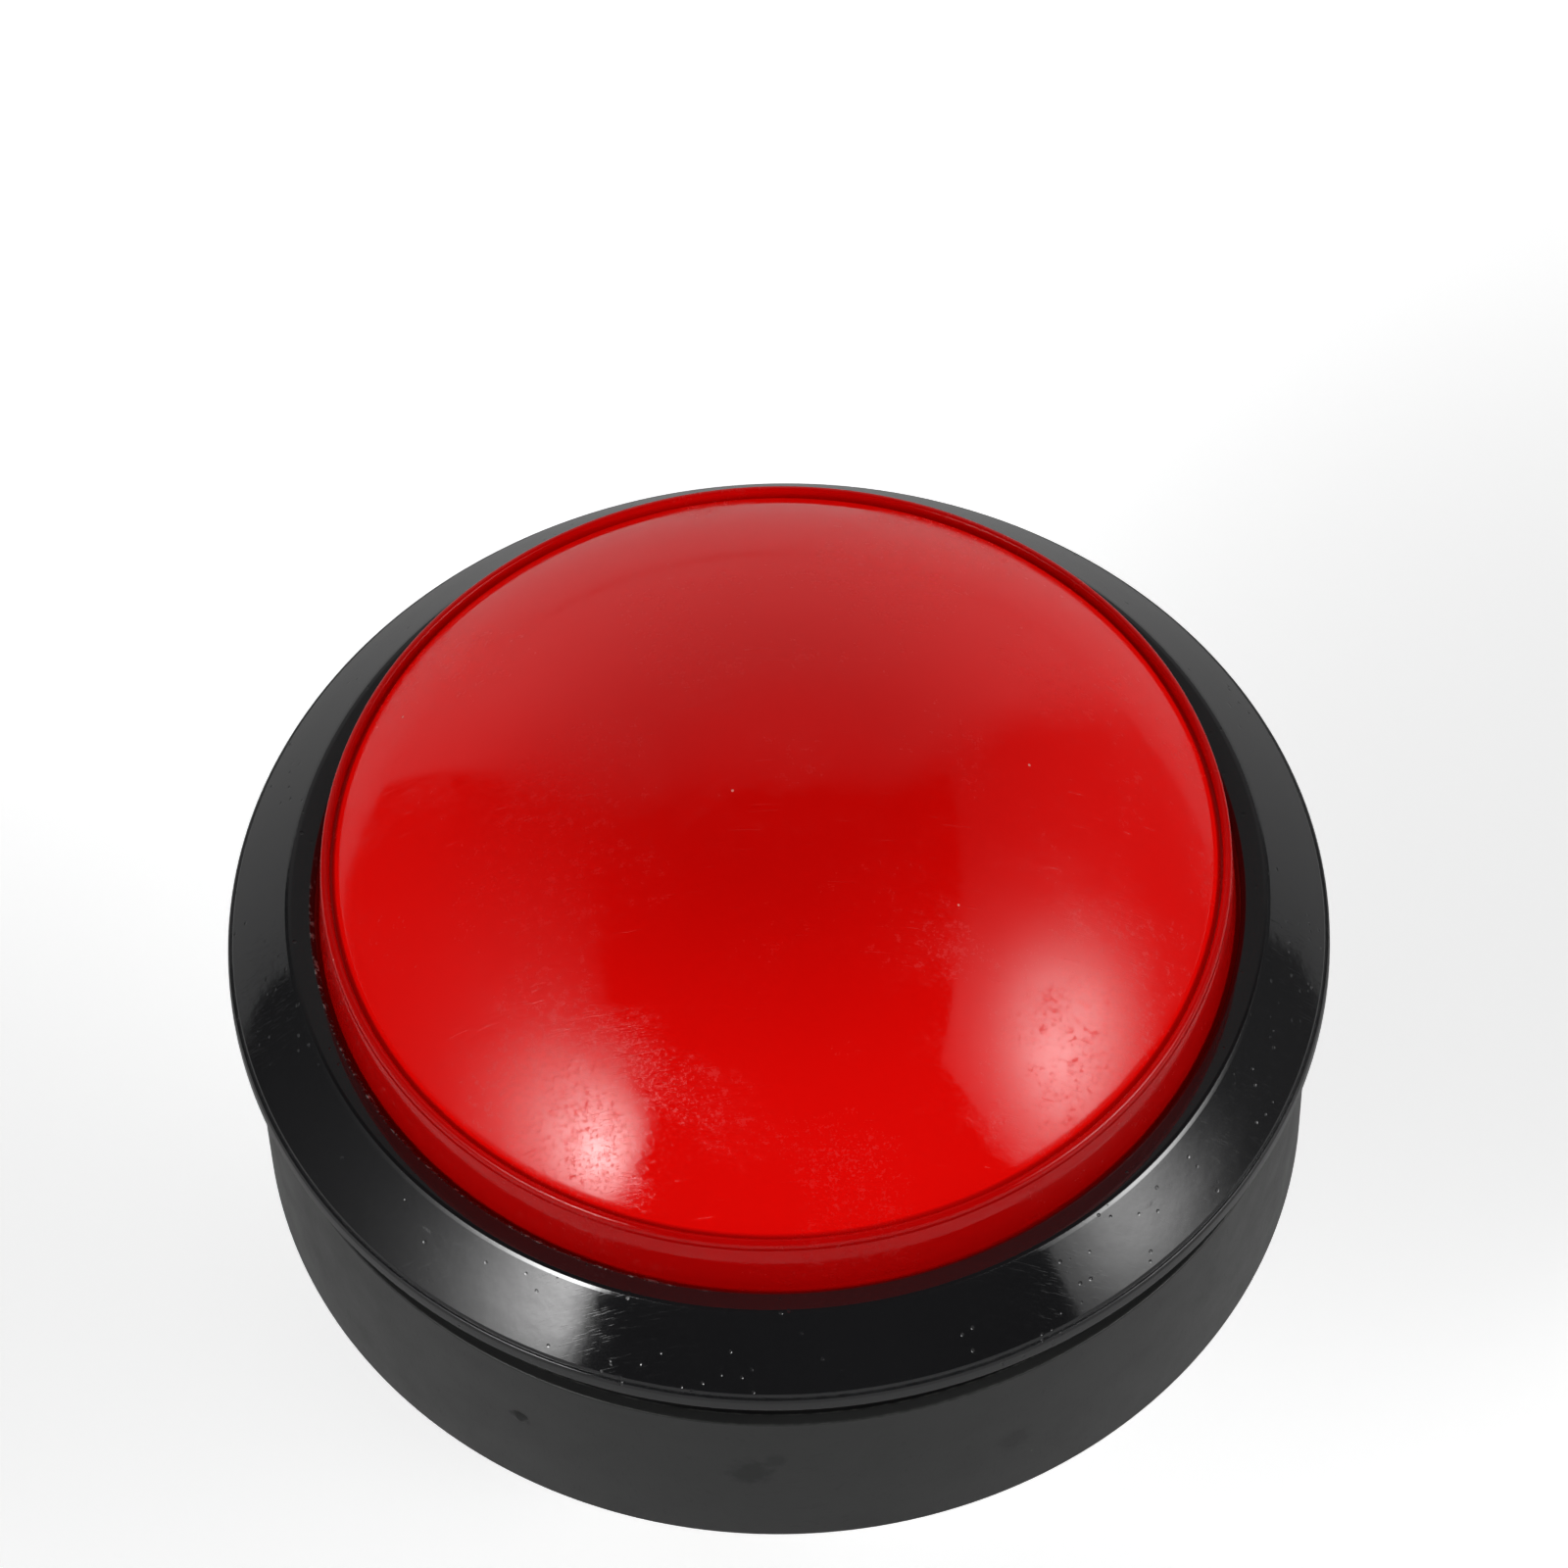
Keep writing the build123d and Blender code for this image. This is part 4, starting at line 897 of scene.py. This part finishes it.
# =====================================================================
# floor, world and lights
# =====================================================================
fm = Mat("floor", Specular_IOR_Level=0.1)
flp = fm.n("ShaderNodeLightPath")
pale = fm.mix(fm.noise(0.01, 3.0, 0.5), (0.90, 0.90, 0.90), (0.93, 0.93, 0.93))
fm.link(fm.mix(flp.outputs["Is Camera Ray"], (0.55, 0.55, 0.55), pale), "Base Color")
fm.link(fm.math("MULTIPLY", flp.outputs["Is Camera Ray"], 0.49), "Emission Strength")
fm.set(Roughness=0.9, Emission_Color=(1, 1, 1, 1))
lo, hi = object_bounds()
FZ = lo.z * 1000 - 0.3
floor = block("studio_floor", -2500, 2500, -2500, 2500, FZ - 10, FZ)
floor.data.materials.append(fm.mat)

world = bpy.data.worlds.new("studio")
SCN.world = world
world.use_nodes = True
wt = world.node_tree
wt.nodes.clear()


def wnode(kind, **props):
    node = wt.nodes.new(kind)
    for k, v in props.items():
        setattr(node, k, v)
    return node


def wmath(op, a, b=None):
    node = wnode("ShaderNodeMath", operation=op)
    for i, v in enumerate((a, b)):
        if v is None:
            continue
        if isinstance(v, (int, float)):
            node.inputs[i].default_value = v
        else:
            wt.links.new(v, node.inputs[i])
    return node.outputs[0]


def profile(src, pts, kind="B_SPLINE"):
    """Value read off a list of (degrees, share)."""
    a, b = pts[0][0], pts[-1][0]
    top = max(v for _, v in pts)
    mr = wnode("ShaderNodeMapRange")
    mr.inputs["From Min"].default_value, mr.inputs["From Max"].default_value = a, b
    wt.links.new(src, mr.inputs["Value"])
    cr = wnode("ShaderNodeValToRGB")
    cr.color_ramp.interpolation = kind
    stops = cr.color_ramp.elements
    while len(stops) < len(pts):
        stops.new(0.5)
    for k, (p, v) in enumerate(pts):
        stops[k].position = (p - a) / (b - a)
    for k, (p, v) in enumerate(pts):
        stops[k].color = (v / top, v / top, v / top, 1.0)
    wt.links.new(mr.outputs[0], cr.inputs[0])
    return wmath("MULTIPLY", cr.outputs[0], top)


wtc = wnode("ShaderNodeTexCoord")
wsx = wnode("ShaderNodeSeparateXYZ")
wt.links.new(wtc.outputs["Generated"], wsx.inputs[0])
DX, DY, DZ = wsx.outputs


def edge(src, a, b):
    """0 at a, 1 at b, smooth between."""
    mr = wnode("ShaderNodeMapRange", interpolation_type="SMOOTHSTEP")
    lo_, hi_ = (a, b) if a < b else (b, a)
    mr.inputs["From Min"].default_value, mr.inputs["From Max"].default_value = lo_, hi_
    mr.inputs["To Min"].default_value, mr.inputs["To Max"].default_value = (0.0, 1.0) if a < b else (1.0, 0.0)
    wt.links.new(src, mr.inputs["Value"])
    return mr.outputs[0]


def blob(u, u0, su, w, w0, sw, top):
    a_ = wmath("DIVIDE", wmath("SUBTRACT", u, u0), su)
    b_ = wmath("DIVIDE", wmath("SUBTRACT", w, w0), sw)
    q = wmath("ADD", wmath("MULTIPLY", a_, a_), wmath("MULTIPLY", b_, b_))
    return wmath("MULTIPLY", wmath("EXPONENT", wmath("MULTIPLY", q, -0.5)), top)


def product(*vals):
    out = vals[0]
    for v in vals[1:]:
        out = wmath("MULTIPLY", out, v)
    return out


# the light tent's side walls stand at x = -1 and x = +1, its back wall behind the object
ax = wmath("MAXIMUM", wmath("ABSOLUTE", DX), 0.0005)
su_, sw_ = wmath("DIVIDE", DY, ax), wmath("DIVIDE", DZ, ax)
ridge = wmath("ADD", sw_, wmath("MULTIPLY", su_, 0.4))
left = wmath("ADD", product(blob(su_, -1.07, 0.30, ridge, 0.56, 0.22, 19.5), edge(su_, -1.43, -1.12)),
             blob(su_, -0.55, 0.50, sw_, 0.80, 0.45, 0.32))
left = product(wmath("ADD", left, 0.012), wmath("LESS_THAN", DX, 0.0), edge(su_, -1.40, -1.36), edge(sw_, 1.475, 1.435),
               edge(sw_, -0.4, 0.15))
right = wmath("ADD", product(blob(su_, -0.29, 0.20, sw_, 0.56, 0.23, 8.2), edge(sw_, 0.12, 0.50)),
              product(blob(su_, -0.45, 0.36, sw_, 0.85, 0.42, 1.15), edge(sw_, 0.25, 0.60)))
right = product(wmath("ADD", right, 0.07), wmath("GREATER_THAN", DX, 0.0), edge(su_, -0.865, -0.825), edge(sw_, 1.50, 1.44),
                edge(sw_, -0.4, 0.15), edge(su_, 1.30, 1.0))
ay = wmath("MAXIMUM", DY, 0.0005)
bu, bw = wmath("DIVIDE", DX, ay), wmath("DIVIDE", DZ, ay)
back = product(profile(bw, [(-0.8, 0.28), (-0.4, 0.32), (-0.1, 0.37), (0.15, 0.41), (0.4, 0.385), (0.6, 0.31), (0.8, 0.25),
                            (1.0, 0.205), (1.2, 0.175), (1.4, 0.145), (1.6, 0.11), (1.8, 0.07), (2.0, 0.025), (2.2, 0.0)]),
               wmath("GREATER_THAN", DY, 0.0), edge(bu, -1.06, -0.98), edge(bu, 0.96, 0.62),
               wmath("ADD", 0.70, wmath("MULTIPLY", edge(bu, -1.0, -0.55), 0.30)))
glow = wmath("ADD", wmath("ADD", left, right), wmath("ADD", back, 0.006))
lpn = wnode("ShaderNodeLightPath")
seen = wnode("ShaderNodeMix", data_type="FLOAT")
wt.links.new(lpn.outputs["Is Camera Ray"], seen.inputs[0])
wt.links.new(glow, seen.inputs[2])
seen.inputs[3].default_value = 1.0
bg = wnode("ShaderNodeBackground")
bg.inputs[0].default_value = (1, 1, 1, 1)
wt.links.new(seen.outputs[0], bg.inputs[1])
wo = wnode("ShaderNodeOutputWorld")
wt.links.new(bg.outputs[0], wo.inputs[0])

# one broad fill from above and behind; it lights the surfaces and makes no highlight of its own
fill_data = bpy.data.lights.new("fill", "AREA")
fill_data.shape = "RECTANGLE"
fill_data.size, fill_data.size_y = 1.3, 1.0
fill_data.energy = 0.62 * 1.3 * 1.0 * math.pi
fill = bpy.data.objects.new("fill", fill_data)
SCN.collection.objects.link(fill)
aim_at = Vector((0, 0, 0.04))
fill.location = aim_at + Vector((0.0, math.cos(math.radians(50)), math.sin(math.radians(50)))) * 1.2
fill.rotation_mode = "QUATERNION"
fill.rotation_quaternion = (aim_at - fill.location).to_track_quat("-Z", "Y")
fill.visible_camera = False
fill.visible_glossy = False
